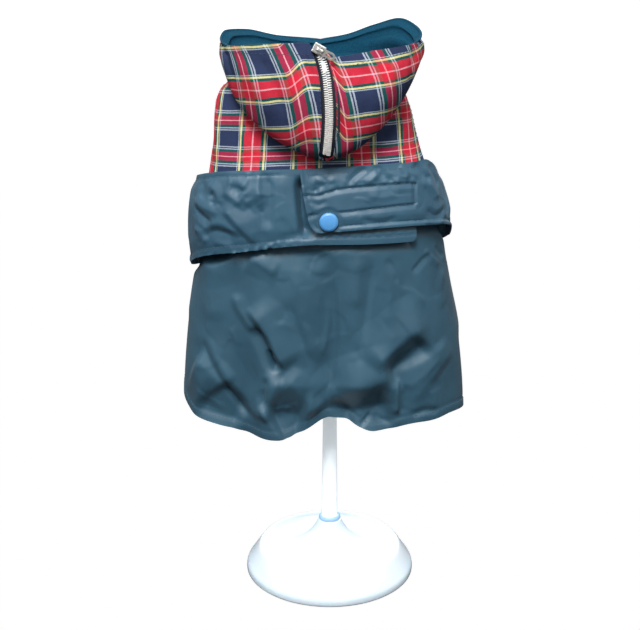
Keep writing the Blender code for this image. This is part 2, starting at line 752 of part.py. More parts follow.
def pull_tab():
    """A tear-shaped loop whose two cheeks hold a pin. Its origin is on the pin's axis."""
    half, cheek = PULL_WIDTH / 2, PULL_CHEEK
    outline = [(-cheek - 0.75, -0.9), (-cheek - 0.75, 1.6)]
    for turn in np.linspace(180, 0, 13):
        spread = half * math.cos(math.radians(turn))
        outline.append((spread, PULL_LENGTH - half + half * math.sin(math.radians(turn))))
    outline += [(cheek + 0.75, 1.6), (cheek + 0.75, -0.9)]
    mesh = bmesh.new()
    flat = [mesh.verts.new(Vector((x, y, -PULL_THICKNESS / 2)) * MM) for x, y in outline]
    face = mesh.faces.new(flat)
    raised = bmesh.ops.extrude_face_region(mesh, geom=[face])["geom"]
    corners = [item for item in raised if isinstance(item, bmesh.types.BMVert)]
    bmesh.ops.translate(mesh, vec=(0, 0, PULL_THICKNESS * MM), verts=corners)
    pull = finish_object("zip_pull", "zip_metal", mesh)
    slot = block("pull_slot", PULL_SLOT, (0, PULL_LENGTH - 4.0, 0), bevel=0.9)
    fork = block("pull_fork", (2 * cheek, PULL_FORK_LENGTH, 3.0), (0, -0.9, 0))
    pin = drum("pull_pin", PIN_RADIUS, 2 * cheek + 0.8, (0, 0, 0), "X")
    for other, operation in ((fork, "DIFFERENCE"), (slot, "DIFFERENCE"), (pin, "UNION")):
        combine(pull, other, operation)
        other.parent = pull
    return pull


def main():
    clear_scene()
    bpy.context.scene.unit_settings.scale_length = 1.0
    stand_base()
    stand_stem()
    stand_form()
    skirt()
    yoke_back()
    yoke_front()
    belt()
    snap_cap()
    hood()
    zip_pieces()


main()
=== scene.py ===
"""The looks of a hooded dog jacket on its dress form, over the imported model.

Sizes are in millimetres and degrees until they reach Blender. An angle round the body is 0 at the middle of
the back, positive towards +X and 180 at the belly. The tables of rings and edges are the part's own.
"""

import math

import bmesh
import bpy
import numpy as np
from mathutils import Matrix, Vector


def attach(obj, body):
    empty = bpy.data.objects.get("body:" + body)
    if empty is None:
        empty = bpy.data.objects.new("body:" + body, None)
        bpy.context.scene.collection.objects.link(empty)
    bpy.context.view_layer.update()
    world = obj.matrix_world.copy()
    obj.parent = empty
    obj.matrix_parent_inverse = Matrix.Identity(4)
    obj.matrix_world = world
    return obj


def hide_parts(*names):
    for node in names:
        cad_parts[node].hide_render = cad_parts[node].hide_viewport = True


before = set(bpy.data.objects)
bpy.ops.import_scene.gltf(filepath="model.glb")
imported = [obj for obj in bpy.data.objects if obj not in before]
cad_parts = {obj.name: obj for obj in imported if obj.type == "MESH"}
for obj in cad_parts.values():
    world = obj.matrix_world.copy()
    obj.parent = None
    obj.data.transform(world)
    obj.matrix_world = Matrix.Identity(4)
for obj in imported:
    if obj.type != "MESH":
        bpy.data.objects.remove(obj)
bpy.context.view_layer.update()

MM = 0.001
SEAM_GAP = 0.75
WAIST_SEAM_DROP = 8.0
TARTAN_WALL = 1.2
LINING_GAP = 1.1
BELT_WALL = 1.9
# How thick each cloth's thin shell is, and how far the lining and the tape lie under the hood's face.
SHELL, BELT_SHELL, FLEECE_SHELL, TAPE_SHELL = 1.0, 1.3, 1.5, 0.5
LINING_DEPTH, TAPE_DEPTH = TARTAN_WALL + LINING_GAP, 0.38
ZIP_CHAIN_WIDTH = 5.8
STEM_FOOT_RADIUS = 6.4
STEM_TIP_RADIUS = 4.4
STEM_FOOT_Z = 21.0
STEM_TIP_Z = 214.0
SIDE_SEAM_DEG = 104.0
BODY_NAME = "jacket_and_stand"

# The body that the cloth hangs round: height, middle in x, half width, depth of back and belly, squareness.
BODY = np.array([
    (126, -4.5, 106, 43, 30, 2.3), (150, -4.8, 105.3, 44, 32, 2.3), (200, -5.5, 100.6, 45, 36, 2.4),
    (230, -5.8, 95.4, 45, 37.4, 2.4), (251, -6, 91.6, 44.6, 38, 2.4), (300, -7.2, 84, 43.5, 38.5, 2.4),
    (320, -8.6, 78.5, 41.5, 38, 2.4), (345, -11, 72.5, 37.5, 37, 2.3), (365, -12.6, 69.3, 33, 36, 2.3),
    (378, -13.6, 64.5, 28.5, 34, 2.2), (386, -12.6, 55, 25.5, 32, 2.1), (391, -11, 47, 23, 30, 2),
])
# The waist belt's outer face, in the same columns.
BELT = np.array([
    (232, -6.5, 94.4, 49.4, 43, 2.5), (252, -6.6, 95.2, 50.4, 43.5, 2.5), (276, -6.8, 94.6, 51, 43.5, 2.5),
    (295, -8.2, 92.2, 50.2, 43, 2.5), (310, -9, 88.6, 48.2, 42.5, 2.5), (322, -9.2, 85.4, 46.2, 42, 2.5),
    (336, -9.4, 80.6, 43.8, 41, 2.5),
])
# The dress form, in the same columns. It leans with the jacket, and its shoulders carry the yoke.
FORM = np.array([
    (180, -2.5, 30, 19, 19, 2), (200, -3.5, 48, 27, 26, 2), (240, -5, 60, 33, 27, 2.1),
    (290, -7, 66, 35, 27.5, 2.2), (330, -10, 67, 34.5, 27.5, 2.2), (352, -11.6, 67, 33, 28.5, 2.3),
    (365, -12.6, 66.4, 30.4, 31, 2.3), (378, -13.6, 61.4, 25.6, 31, 2.2), (385, -12.8, 52, 22.4, 28.4, 2.1),
    (390, -11.4, 40, 18.8, 24.2, 2), (393, -11, 33, 16, 19.5, 2),
])
# The base's outline from its ground edge to the collar that the stem stands in: radius and height.
BASE_PROFILE = [
    (64, 0), (65, 1.2), (65, 4.4), (64.1, 6.8), (61.8, 10.2), (58.6, 15), (55.9, 19), (54.4, 20.7),
    (52.7, 21.4), (51.1, 20.8), (49, 19), (45.5, 17.8), (40, 17.9), (33, 19.4), (26, 22.4), (20, 26.4),
    (15, 31.2), (11.6, 36.2), (9.6, 40.2), (8.9, 41.6), (8, 42),
]
FORM_FOOT_Z = 174.0
FORM_NECK_Z = 396.5

# Edge heights round the body: the angle, the belt's top, the under strap's bottom and the flap's bottom.
BELT_EDGES = np.array([
    (-180, 306, 238, 238), (-105, 313, 246, 246), (-85, 317, 251, 251), (-62, 323, 262, 262),
    (-40, 328, 270, 272), (0, 331, 278, 287), (35, 333, 278, 290), (60, 333, 276, 287), (85, 321, 268, 279),
    (105, 315, 258, 268), (180, 306, 238, 238),
])
# The skirt's hem: the angle and the height. Two points hang either side of a notch at the tail.
HEM = np.array([
    (-106, 165), (-90, 154), (-70, 145), (-46, 135.5), (-27, 129), (-15, 128), (-7, 136), (2.5, 145),
    (14, 137), (21, 133.4), (27, 134), (40, 139), (58, 141.5), (80, 140), (96, 138), (106, 142),
])
SKIRT_SIDE_DEG = 106.0
STRAP_END_DEG = 44.0
FLAP_FOOT_DEG = -3.4
FLAP_SLANT_DEG = 5.0
STRAP_CORNER_DEG, FLAP_CORNER_DEG, CORNER_REACH = 3.0, 3.4, 0.2
# Where the under strap dips behind the flap, and by how much more than its wall.
STRAP_DIP_DEG, STRAP_DIP_MORE = (-42.0, -16.0), 0.45
BELLY_SEAM_DEG = 0.52
SNAP_PLACE = (-1.5, 295.0)
# Soft ridges (+) and troughs (-) of the skirt: angle at the foot and at the head, their heights,
# half width in degrees and depth.
SKIRT_FOLDS = np.array([
    (-20, 129, -30, 300, 7.5, 4.5), (-33, 129, -24, 232, 7, -5), (2, 145, 5, 285, 7, -3.6),
    (15, 134, 11, 290, 6, 3.6), (30, 134, 34, 215, 7, -3.4), (46, 140, 40, 260, 9, 3),
    (-56, 136, -50, 250, 9, 2.8),
])

# The hood's neck seam and its rim as rings: middle in x and y, half width, back, front, squareness.
NECK_RING = (-11.0, 0.0, 46.0, 22.5, 30.0, 2.0)
RIM_RING = (-6.8, -8.0, 69.0, 58.0, 46.0, 2.15)
NECK_Z = 392.2
YOKE_CLEARANCE = 0.9
# Round the hood: the angle, the rim's height and the lowest height of the cloth below it.
HOOD_HEIGHTS = np.array([
    (-180, 408, 394), (-155, 411, 395), (-132, 417, 396), (-110, 418.5, 396), (-90, 414, 393),
    (-76, 413, 386), (-62, 414, 373), (-50, 415.5, 364), (-37, 417.5, 354.5), (-21, 419, 345.5),
    (-7, 420, 339.5), (1, 418.5, 338), (9, 410.5, 339.5), (21, 412.5, 345), (36, 414.5, 355),
    (50, 415, 367), (62, 415, 377.5), (77, 415.5, 389), (90, 417, 394), (110, 421.5, 397), (128, 425, 397),
    (148, 419, 396), (165, 411.5, 395), (180, 408, 394),
])
# From neck seam to rim: share of the way, share of the plan distance, share of the drop and of the rise.
HOOD_PROFILE = np.array([
    (0.00, 0.00, 0.00, 0.00), (0.06, 0.15, 0.05, 0.00), (0.12, 0.26, 0.17, 0.00), (0.22, 0.37, 0.50, 0.00),
    (0.34, 0.48, 0.86, 0.00), (0.44, 0.61, 1.00, 0.00), (0.54, 0.80, 1.00, 0.07), (0.66, 0.96, 1.00, 0.29),
    (0.80, 1.05, 1.00, 0.60), (1.00, 1.00, 1.00, 1.00),
])
ZIP_FOOT_SHARE = 0.50
# The fold in beside the zip: its angle, its half width in degrees and its depth.
ZIP_VALLEY = (8.5, 4.5, 4.5)
# How far the middle seam and zip stand towards +X: share of the way and the shift.
ZIP_LINE = np.array([
    (0, 0), (0.3, 3.6), (0.5, 4.2), (0.7, 5.4), (0.85, 3.8), (0.94, 0.6), (1, -2.6),
])
SLIDER_SHARE = 0.982

ARMHOLE_ANGLE = 140.0
ARMHOLE_Z = 348.0
ARMHOLE_WIDTH = 26.0
ARMHOLE_HEIGHT = 44.0
ARMHOLE_CUT_DEPTH = 24.0
ARMHOLE_STITCH_BORDER = 2.4


# ---------------------------------------------------------------- shapes shared with the part


def smooth_step(low, high, value):
    share = np.clip((np.asarray(value, float) - low) / (high - low), 0.0, 1.0)
    return share * share * (3.0 - 2.0 * share)


def bell(away, width):
    """A smooth bump that is 1 in its middle and fades over a width."""
    return np.exp(-((away / width) ** 2))


def along(table, column, at):
    """A column of a table read at any place in its first column, on a smooth line with no overshoot."""
    known, values = table[:, 0], table[:, column]
    at = np.clip(np.asarray(at, float), known[0], known[-1])
    step, rise = np.diff(known), np.diff(values)
    grade = rise / step
    slope = np.zeros(len(known))
    slope[0], slope[-1] = grade[0], grade[-1]
    same_way = grade[:-1] * grade[1:] > 0
    harmonic = 2.0 * grade[:-1] * grade[1:] / np.where(same_way, grade[:-1] + grade[1:], 1.0)
    slope[1:-1] = np.where(same_way, harmonic, 0.0)
    index = np.clip(np.searchsorted(known, at, side="right") - 1, 0, len(step) - 1)
    width = step[index]
    share = (at - known[index]) / width
    start, end = values[index], values[index + 1]
    a = 2 * share**3 - 3 * share**2 + 1
    b = share**3 - 2 * share**2 + share
    c = share**3 - share**2
    return a * start + b * width * slope[index] + (1 - a) * end + c * width * slope[index + 1]


def ring_point(middle_x, middle_y, half_width, back, front, power, angle):
    """Where an angle falls on a rounded ring, as x and y."""
    turn = np.radians(angle)
    side, ahead = np.sin(turn), np.cos(turn)
    reach = (np.abs(side) ** power + np.abs(ahead) ** power) ** (-1.0 / power)
    depth = np.where(ahead > 0, back, front)
    return middle_x + half_width * side * reach, middle_y - depth * ahead * reach


def body_point(table, angle, height, out=0.0):
    """A point on the tube that a table of rings describes, moved out by a number of millimetres."""
    middle, half, back, front, power = (along(table, column, height) for column in range(1, 6))
    x, y = ring_point(middle, 0.0, half + out, back + out, front + out, power, angle)
    return np.stack([x, y, np.broadcast_to(height, x.shape)], axis=-1)


def facing_back(angle):
    """The same angle, between -180 and 180."""
    return (angle + 180.0) % 360.0 - 180.0


def cap_ring(ring, height, share):
    """A ring drawn in towards its middle, most of the way to a flat end, to round a closed end off."""
    middle = ring.mean(axis=0)
    moved = middle + (ring - middle) * share
    drop = math.sqrt(1.0 - share**2)
    moved[:, 2] = ring[:, 2] + (height - ring[:, 2]) * drop
    return moved


def seam_height(angle):
    """The waist seam between yoke and skirt, hidden under the belt's top edge."""
    return along(BELT_EDGES, 1, angle) - WAIST_SEAM_DROP


def skirt_folds(angle, height):
    """How far the skirt's soft folds stand out, in millimetres."""
    out = np.zeros_like(angle)
    for foot_angle, foot_z, head_angle, head_z, half_width, depth in SKIRT_FOLDS:
        rise = np.clip((height - foot_z) / (head_z - foot_z), 0.0, 1.0)
        middle = foot_angle + (head_angle - foot_angle) * rise
        fade = (1.0 - rise) ** 0.8 * smooth_step(head_z, head_z - 30.0, height)
        out = out + depth * fade * bell(angle - middle, half_width)
    return out


def skirt_surface(angle, share):
    hem = along(HEM, 1, angle)
    height = hem + (seam_height(angle) - SEAM_GAP - hem) * share
    return body_point(BODY, angle, height, skirt_folds(angle, height))


def yoke_surface(angle, share):
    low = seam_height(facing_back(angle))
    return body_point(BODY, angle, low + (BODY[-1, 0] - low) * share)


def belt_surface(low_column, out):
    """The belt's outer face over a column of bottom edges, moved out by a function of the angle."""
    def surface(angle, share):
        wrapped = facing_back(angle)
        low, high = along(BELT_EDGES, low_column, wrapped), along(BELT_EDGES, 1, wrapped)
        return body_point(BELT, angle, low + (high - low) * share, out(wrapped))
    return surface


def level(angle):
    return 0.0 * angle


def under_depth(angle):
    """The under strap dips behind the flap that covers it."""
    return -(BELT_WALL + STRAP_DIP_MORE) * smooth_step(*STRAP_DIP_DEG, angle)


def rounded_corner(share, size, reach):
    """How far a strap's free end is drawn back near its lower corner."""
    near = np.clip(1.0 - share / reach, 0.0, 1.0)
    return size * (1.0 - np.sqrt(1.0 - near**2))


def hood_point(angle, share):
    """A point on the hood's outer face. share runs from the neck seam, down the nape, and up to the rim."""
    neck_x, neck_y = ring_point(*NECK_RING, angle)
    rim_x, rim_y = ring_point(*RIM_RING, angle)
    rim_z, low_z = along(HOOD_HEIGHTS, 1, angle), along(HOOD_HEIGHTS, 2, angle)
    plan, drop, rise = (along(HOOD_PROFILE, column, share) for column in (1, 2, 3))
    shift = along(ZIP_LINE, 1, share) * np.cos(np.radians(angle)).clip(0) ** 3
    x = neck_x + (rim_x - neck_x) * plan + shift
    y = neck_y + (rim_y - neck_y) * plan
    z = NECK_Z + (low_z - NECK_Z) * drop + (rim_z - low_z) * rise
    return np.stack([x, y, z], axis=-1)


def zip_valley(angle, share):
    """The right panel turns in beside the zip, deepest half way up."""
    middle, width, depth = ZIP_VALLEY
    return -depth * bell(angle - middle, width) * smooth_step(0.5, 0.72, share) * (1 - 0.5 * share)


def hood_half_width(share):
    return NECK_RING[2] + (RIM_RING[2] - NECK_RING[2]) * along(HOOD_PROFILE, 1, share)


def hood_edge_angle(share, distance):
    """The angle that stands this far from the zip's middle line, closing to a seam below the zip."""
    parted = smooth_step(ZIP_FOOT_SHARE - 0.05, ZIP_FOOT_SHARE + 0.02, share)
    return np.degrees((SEAM_GAP + (distance - SEAM_GAP) * parted) / hood_half_width(share))


def laid_on_yoke(points):
    """Points of the hood that would sink into the yoke, moved straight out to lie on it."""
    x, y, z = (points[..., k] for k in range(3))
    middle, half, back, front, power = (along(BODY, column, z) for column in range(1, 6))
    depth = np.where(y < 0, back, front) + YOKE_CLEARANCE
    inside = (np.abs(x - middle) / (half + YOKE_CLEARANCE)) ** power + (np.abs(y) / depth) ** power
    push = (np.maximum(inside, 1e-6) ** (-1.0 / power)).clip(1.0)
    push = 1.0 + (push - 1.0) * (1.0 - smooth_step(BODY[-1, 0] + 0.2, BODY[-1, 0] + 4.0, z))
    return np.stack([middle + (x - middle) * push, y * push, z], axis=-1)


def hood_surface(angle, share):
    """The hood's outer face, with the turned-in valley beside the zip and its nape laid on the yoke."""
    angle, share = np.broadcast_arrays(angle, share)
    points = laid_on_yoke(hood_point(angle, share))
    right = np.where(angle > 0, zip_valley(angle, share), 0.0)
    return points - right[..., None] * np.array((0.0, 1.0, 0.0))


# ---------------------------------------------------------------- cloth meshes


def face_normals(surface, angle, share):
    turn, step = 0.05, 0.001
    across = surface(angle + turn, share) - surface(angle - turn, share)
    ahead = surface(angle, np.minimum(share + step, 1.0)) - surface(angle, np.maximum(share - step, 0.0))
    normal = np.cross(across, ahead)
    return normal / np.maximum(np.linalg.norm(normal, axis=-1, keepdims=True), 1e-9)


def mesh_object(name, points, faces, finish=None, sharp=0, uv=None):
    """An object from points in millimetres.

    With sharp, its faces turn outwards and meet in a sharp edge past that angle.
    """
    data = bpy.data.meshes.new(name)
    data.from_pydata((np.asarray(points) * MM).tolist(), [], faces)
    if uv is not None:
        data.uv_layers.new(name="cloth").data.foreach_set("uv", uv.astype(np.float32).reshape(-1))
    data.shade_smooth()
    if sharp:
        mesh = bmesh.new()
        mesh.from_mesh(data)
        bmesh.ops.recalc_face_normals(mesh, faces=mesh.faces[:])
        mesh.to_mesh(data)
        mesh.free()
        data.set_sharp_from_angle(angle=math.radians(sharp))
    if finish:
        data.materials.append(finish)
    obj = bpy.data.objects.new(name, data)
    bpy.context.scene.collection.objects.link(obj)
    return obj


def shell_mesh(name, outer, inner, uv):
    """A closed thin shell between two grids of points, with a UV map in millimetres of cloth."""
    rows, columns = outer.shape[:2]
    count = rows * columns
    index = np.arange(count).reshape(rows, columns)
    a, b, c, d = index[:-1, :-1], index[:-1, 1:], index[1:, 1:], index[1:, :-1]
    front = np.stack([a, b, c, d], axis=-1).reshape(-1, 4)
    back = np.stack([b, a, d, c], axis=-1).reshape(-1, 4) + count
    rims = []
    for edge in (index[0, ::-1], index[-1], index[:, 0], index[::-1, -1]):
        rims.append(np.stack([edge[:-1], edge[1:], edge[1:] + count, edge[:-1] + count], axis=-1))
    faces = np.concatenate([front, back] + rims)
    points = np.concatenate([outer.reshape(-1, 3), inner.reshape(-1, 3)])
    corners = np.tile(uv.reshape(-1, 2), (2, 1))[faces.reshape(-1)]
    return mesh_object(name, points, faces.tolist(), sharp=55, uv=corners)


def tube_faces(start, sides, rings):
    """Faces of a closed tube whose rings of points follow one another, with its two flat ends."""
    faces, last = [], start + (rings - 1) * sides
    for first in range(start, last, sides):
        for j in range(sides):
            a, b = first + j, first + (j + 1) % sides
            faces.append((a, b, b + sides, a + sides))
    return faces + [tuple(range(start + sides - 1, start - 1, -1)), tuple(range(last, last + sides))]


def curve_through(points, steps=14):
    """A smooth line through a few points."""
    points = np.asarray(points, float)
    if len(points) < 2:
        return points
    padded = np.concatenate([2 * points[:1] - points[1:2], points, 2 * points[-1:] - points[-2:-1]])
    line = []
    for k in range(1, len(padded) - 2):
        p0, p1, p2, p3 = padded[k - 1 : k + 3]
        for t in np.linspace(0, 1, steps, endpoint=False):
            line.append(
                0.5 * (2 * p1 + (p2 - p0) * t + (2 * p0 - 5 * p1 + 4 * p2 - p3) * t**2
                       + (3 * p1 - p0 - 3 * p2 + p3) * t**3)
            )
    line.append(points[-1])
    return np.array(line)


def run_along(points):
    """The length run from a line's start to each of its points."""
    return np.concatenate([[0], np.cumsum(np.linalg.norm(np.diff(points, axis=0), axis=1))])


def crease(place, points, left, right, depth, ends=0.22, crisp=0.09):
    """One fold along a line of places (across, up), with its slopes' widths on either hand.

    A positive depth is a ridge and a negative one a trough. ends is the share of its length over which it
    fades, and crisp how round its crest is.
    """
    line = curve_through(points, 8)
    reach = max(left, right)
    low, high = line.min(axis=0) - reach, line.max(axis=0) + reach
    inside = ((place > low) & (place < high)).all(axis=-1)
    near_by = place[inside]
    best = np.full(len(near_by), 1e9)
    side, part = np.zeros_like(best), np.zeros_like(best)
    run = run_along(line)
    for k in range(len(line) - 1):
        a, step = line[k], line[k + 1] - line[k]
        t = np.clip(((near_by - a) @ step) / max(float(step @ step), 1e-9), 0, 1)
        gap = near_by - (a + t[:, None] * step)
        distance = np.hypot(gap[:, 0], gap[:, 1])
        near = distance < best
        best = np.where(near, distance, best)
        side = np.where(near, step[0] * gap[:, 1] - step[1] * gap[:, 0], side)
        part = np.where(near, (run[k] + t * (run[k + 1] - run[k])) / run[-1], part)
    away = best / np.where(side > 0, left, right)
    foot = math.sqrt(1 + crisp**2)
    slope = ((foot - np.sqrt(away**2 + crisp**2)) / (foot - crisp)).clip(0) ** 1.12
    total = np.zeros(place.shape[:-1])
    total[inside] = depth * slope * smooth_step(0, ends, part) * smooth_step(0, ends, 1 - part)
    return total


def creases(place, table):
    """Folds from rows of left and right widths, depth and the places along the line."""
    return sum(crease(place, np.reshape(row[3:], (-1, 2)), *row[:3]) for row in table)


def small_wrinkles(place, seed, count, area, length, width, depth):
    """Faint seeded creases scattered over an area given as (left, low, right, high)."""
    rng = np.random.default_rng(seed)
    total = np.zeros(place.shape[:-1])
    for _ in range(count):
        x, z = rng.uniform(area[0], area[2]), rng.uniform(area[1], area[3])
        turn = rng.uniform(0, math.pi)
        long = length * rng.uniform(0.5, 1.4)
        way = np.array([math.cos(turn), math.sin(turn)])
        bend = np.array([-way[1], way[0]]) * rng.uniform(-0.25, 0.25) * long
        middle = np.array([x, z])
        size = depth * rng.uniform(0.4, 1.0) * rng.choice((-1.0, 1.0))
        widths = width * rng.uniform((0.3, 1.4), (0.8, 3.2))
        widths = widths[::-1] if rng.random() < 0.5 else widths
        line = [middle - way * long / 2, middle + bend, middle + way * long / 2]
        total += crease(place, line, *widths, size, 0.3, 0.04)
    return total


def fine(rows, columns):
    return np.meshgrid(np.linspace(0, 1, rows), np.linspace(0, 1, columns), indexing="ij")


def row_runs(points):
    """Millimetres along each row of a grid of points, level by level."""
    step = np.linalg.norm(np.diff(points[..., :2], axis=1), axis=2)
    return np.concatenate([np.zeros((len(points), 1)), np.cumsum(step, axis=1)], axis=1)


def lay_out(points, angle):
    """Millimetres along the cloth from the middle of the back, and the height."""
    u = row_runs(points)
    middle = np.abs(angle).argmin(axis=1)[:, None]
    u = u - np.take_along_axis(u, middle, axis=1) + np.take_along_axis(points[..., 0], middle, axis=1)
    return np.stack([u, points[..., 2]], axis=-1)


def sample(table, row, column):
    """Values of a grid between its rows and columns."""
    row = np.clip(np.asarray(row, float), 0, table.shape[0] - 1.001)
    column = np.clip(np.asarray(column, float), 0, table.shape[1] - 1.001)
    i, j = row.astype(int), column.astype(int)
    a, b = (row - i)[:, None], (column - j)[:, None]
    upper = table[i, j] * (1 - b) + table[i, j + 1] * b
    lower = table[i + 1, j] * (1 - b) + table[i + 1, j + 1] * b
    return upper * (1 - a) + lower * a


class Cloth:
    """One cut piece of cloth: its grid, the relief on it and the mesh made from them."""

    def __init__(self, surface, angle, share):
        self.surface, self.angle, self.share = surface, angle, share
        self.base = surface(angle, share)
        self.normal = face_normals(surface, angle, share)
        self.place = lay_out(self.base, angle)

    def make(self, name, relief, thickness, depth=0.0, uv=None):
        self.outer = self.base + self.normal * (relief - depth)[..., None]
        inner = self.outer - self.normal * thickness
        self.obj = shell_mesh(name, self.outer, inner, self.place if uv is None else uv)
        return self.obj

    def line(self, share, column):
        """Points and outward directions on the finished cloth, for shares of its rows and columns."""
        rows, columns = self.share.shape
        share, column = np.broadcast_arrays(share, column)
        return self.at(share * (rows - 1), column * (columns - 1))

    def at(self, row, column):
        points, out = sample(self.outer, row, column), sample(self.normal, row, column)
        return points, out / np.linalg.norm(out, axis=1, keepdims=True)

    def through(self, places, steps=60):
        """The same for a line through places (across, up) on the cloth."""
        wanted = curve_through(places, steps)
        flat = self.place.reshape(-1, 2)
        columns = self.share.shape[1]
        nearest = [int(((flat - one) ** 2).sum(axis=1).argmin()) for one in wanted]
        row, column = np.divmod(np.array(nearest), columns)
        span_u = np.gradient(self.place[..., 0], axis=1)
        span_z = np.gradient(self.place[..., 1], axis=0)
        column = column + (wanted[:, 0] - self.place[row, column, 0]) / span_u[row, column]
        row = row + (wanted[:, 1] - flat[nearest, 1]) / span_z[row, np.array(nearest) % columns]
        return self.at(row, column)


def stitch_row(name, lines, finish, length=2.3, gap=1.0, radius=0.2, proud=0.05):
    """Separate lock stitches along lines of points with outward directions, as one mesh."""
    verts, faces = [], []
    for points, out in lines:
        run = run_along(points)
        count = max(int(run[-1] / (length + gap)), 1)
        pitch = run[-1] / count
        for k in range(count):
            ends = np.array([k * pitch + gap / 2, (k + 1) * pitch - gap / 2])
            places = np.linspace(ends[0], ends[1], 4)
            spine = np.stack([np.interp(places, run, points[:, axis]) for axis in range(3)], axis=1)
            up = np.array([np.interp(ends.mean(), run, out[:, axis]) for axis in range(3)])
            across = np.cross(spine[-1] - spine[0], up)
            across /= max(np.linalg.norm(across), 1e-9)
            faces += tube_faces(len(verts), 6, 4)
            for centre, swell, lift in zip(spine, (0.35, 1.0, 1.0, 0.35), (-0.25, 0.12, 0.12, -0.25)):
                for turn in np.arange(6) * math.pi / 3:
                    ray = across * math.cos(turn) + up * math.sin(turn)
                    verts.append(centre + up * (proud + lift) + ray * radius * swell)
    return mesh_object(name, verts, faces, finish)


def lathe(name, profile, finish, segments=128):
    """A shape turned about Z from radii and heights. An outline that ends where it began makes a ring."""
    points, rings, faces = [], [], []
    ring_shaped = profile[0] == profile[-1]
    for radius, height in profile[:-1] if ring_shaped else profile:
        turns = 2 * math.pi * np.arange(segments if radius > 0 else 1) / segments
        rings.append(range(len(points), len(points) + len(turns)))
        points += [(radius * math.cos(turn), radius * math.sin(turn), height) for turn in turns]
    if ring_shaped:
        rings.append(rings[0])
    for lower, upper in zip(rings, rings[1:]):
        for k in range(segments):
            corners = [lower[k % len(lower)], lower[(k + 1) % len(lower)]]
            corners += [upper[(k + 1) % len(upper)], upper[k % len(upper)]]
            faces.append(tuple(dict.fromkeys(corners)))
    return mesh_object(name, points, faces, finish, sharp=42)


# ---------------------------------------------------------------- materials


def linear(red, green, blue):
    """A colour of an ordinary 0 to 255 chart, as the shader's own numbers."""
    shares = (channel / 255 for channel in (red, green, blue))
    return tuple(s / 12.92 if s <= 0.04045 else ((s + 0.055) / 1.055) ** 2.4 for s in shares)


class Finish:
    """A node material on one Principled shader."""

    def __init__(self, name, colour, roughness, **sockets):
        self.material = bpy.data.materials.new(name)
        self.material.use_nodes = True
        self.tree = self.material.node_tree
        self.shader = self.tree.nodes["Principled BSDF"]
        self.shader.inputs["Base Color"].default_value = (*colour, 1)
        self.shader.inputs["Roughness"].default_value = roughness
        for label, value in sockets.items():
            self.shader.inputs[label.replace("_", " ")].default_value = value

    def add(self, kind, **settings):
        node = self.tree.nodes.new("ShaderNode" + kind)
        for label, value in settings.items():
            setattr(node, label, value)
        return node

    def feed(self, socket, source):
        if isinstance(source, bpy.types.NodeSocket):
            self.tree.links.new(source, socket)
        else:
            socket.default_value = source

    def sum(self, operation, *sources):
        node = self.add("Math", operation=operation)
        for socket, source in zip(node.inputs, sources):
            self.feed(socket, source)
        return node.outputs[0]

    def where(self, scale=1.0, stretch=(1, 1, 1)):
        """Places in the object's own space, in millimetres times a scale."""
        mapping = self.add("Mapping")
        mapping.inputs["Scale"].default_value = [1000 * scale * s for s in stretch]
        self.feed(mapping.inputs["Vector"], self.add("TexCoord").outputs["Object"])
        return mapping.outputs["Vector"]

    def noise(self, scale, detail=2.0, roughness=0.5, stretch=(1, 1, 1), distortion=0.0, vector=None):
        node = self.add("TexNoise")
        self.feed(node.inputs["Vector"], self.where(1.0, stretch) if vector is None else vector)
        for label, value in (
            ("Scale", scale), ("Detail", detail), ("Roughness", roughness), ("Distortion", distortion)
        ):
            node.inputs[label].default_value = value
        return node.outputs["Fac"]

    def ramp(self, source, stops, constant=False):
        node = self.add("ValToRGB")
        band = node.color_ramp
        band.interpolation = "CONSTANT" if constant else "EASE"
        band.elements[0].position, band.elements[0].color = stops[0]
        band.elements.remove(band.elements[1])
        for place, colour in stops[1:]:
            band.elements.new(place).color = colour
        self.feed(node.inputs[0], source)
        return node.outputs["Color"], node.outputs["Alpha"]

    def mix(self, share, first, second, blend="MIX"):
        node = self.add("Mix", data_type="RGBA", blend_type=blend)
        self.feed(node.inputs[0], share)
        for socket, source in ((node.inputs[6], first), (node.inputs[7], second)):
            if isinstance(source, tuple):
                source = (*source[:3], 1)
            self.feed(socket, source)
        return node.outputs[2]

    def colour(self, source):
        self.feed(self.shader.inputs["Base Color"], source)

    def tone(self, source, low, dark, high, light):
        """Colours between two that follow a pattern."""
        self.colour(self.ramp(source, [(low, (*dark, 1)), (high, (*light, 1))])[0])

    def roughness(self, source, low, high):
        node = self.add("MapRange")
        self.feed(node.inputs["Value"], source)
        node.inputs["To Min"].default_value, node.inputs["To Max"].default_value = low, high
        self.feed(self.shader.inputs["Roughness"], node.outputs[0])

    def bump(self, height, distance, strength=1.0, under=None):
        node = self.add("Bump")
        node.inputs["Strength"].default_value = strength
        node.inputs["Distance"].default_value = distance * MM
        self.feed(node.inputs["Height"], height)
        if under is not None:
            self.feed(node.inputs["Normal"], under)
        self.feed(self.shader.inputs["Normal"], node.outputs[0])
        return node.outputs[0]


NAVY = linear(40, 52, 84)
RED = linear(214, 32, 48)
CRIMSON = linear(176, 30, 62)
GREEN = linear(6, 84, 72)
YELLOW = linear(234, 224, 156)
WHITE = linear(180, 190, 202)
PINK = linear(246, 170, 176)
# Half a repeat from the middle of its widest stripe: where each stripe ends in millimetres, its colour,
# and how strongly it shows where the other threads cross it.
SETT_WIDE = ((0.5, PINK, 0.9), (6.0, RED, 1.0), (8.1, GREEN, 0.75), (9.5, YELLOW, 1.0), (10.1, GREEN, 0.7),
             (10.9, WHITE, 0.7), (19.25, NAVY, 0.3))
SETT_NARROW = ((0.45, PINK, 0.8), (4.3, CRIMSON, 0.8), (7.0, GREEN, 0.65), (8.1, WHITE, 0.75),
               (9.1, NAVY, 0.35), (10.2, WHITE, 0.75), (18.25, NAVY, 0.3))

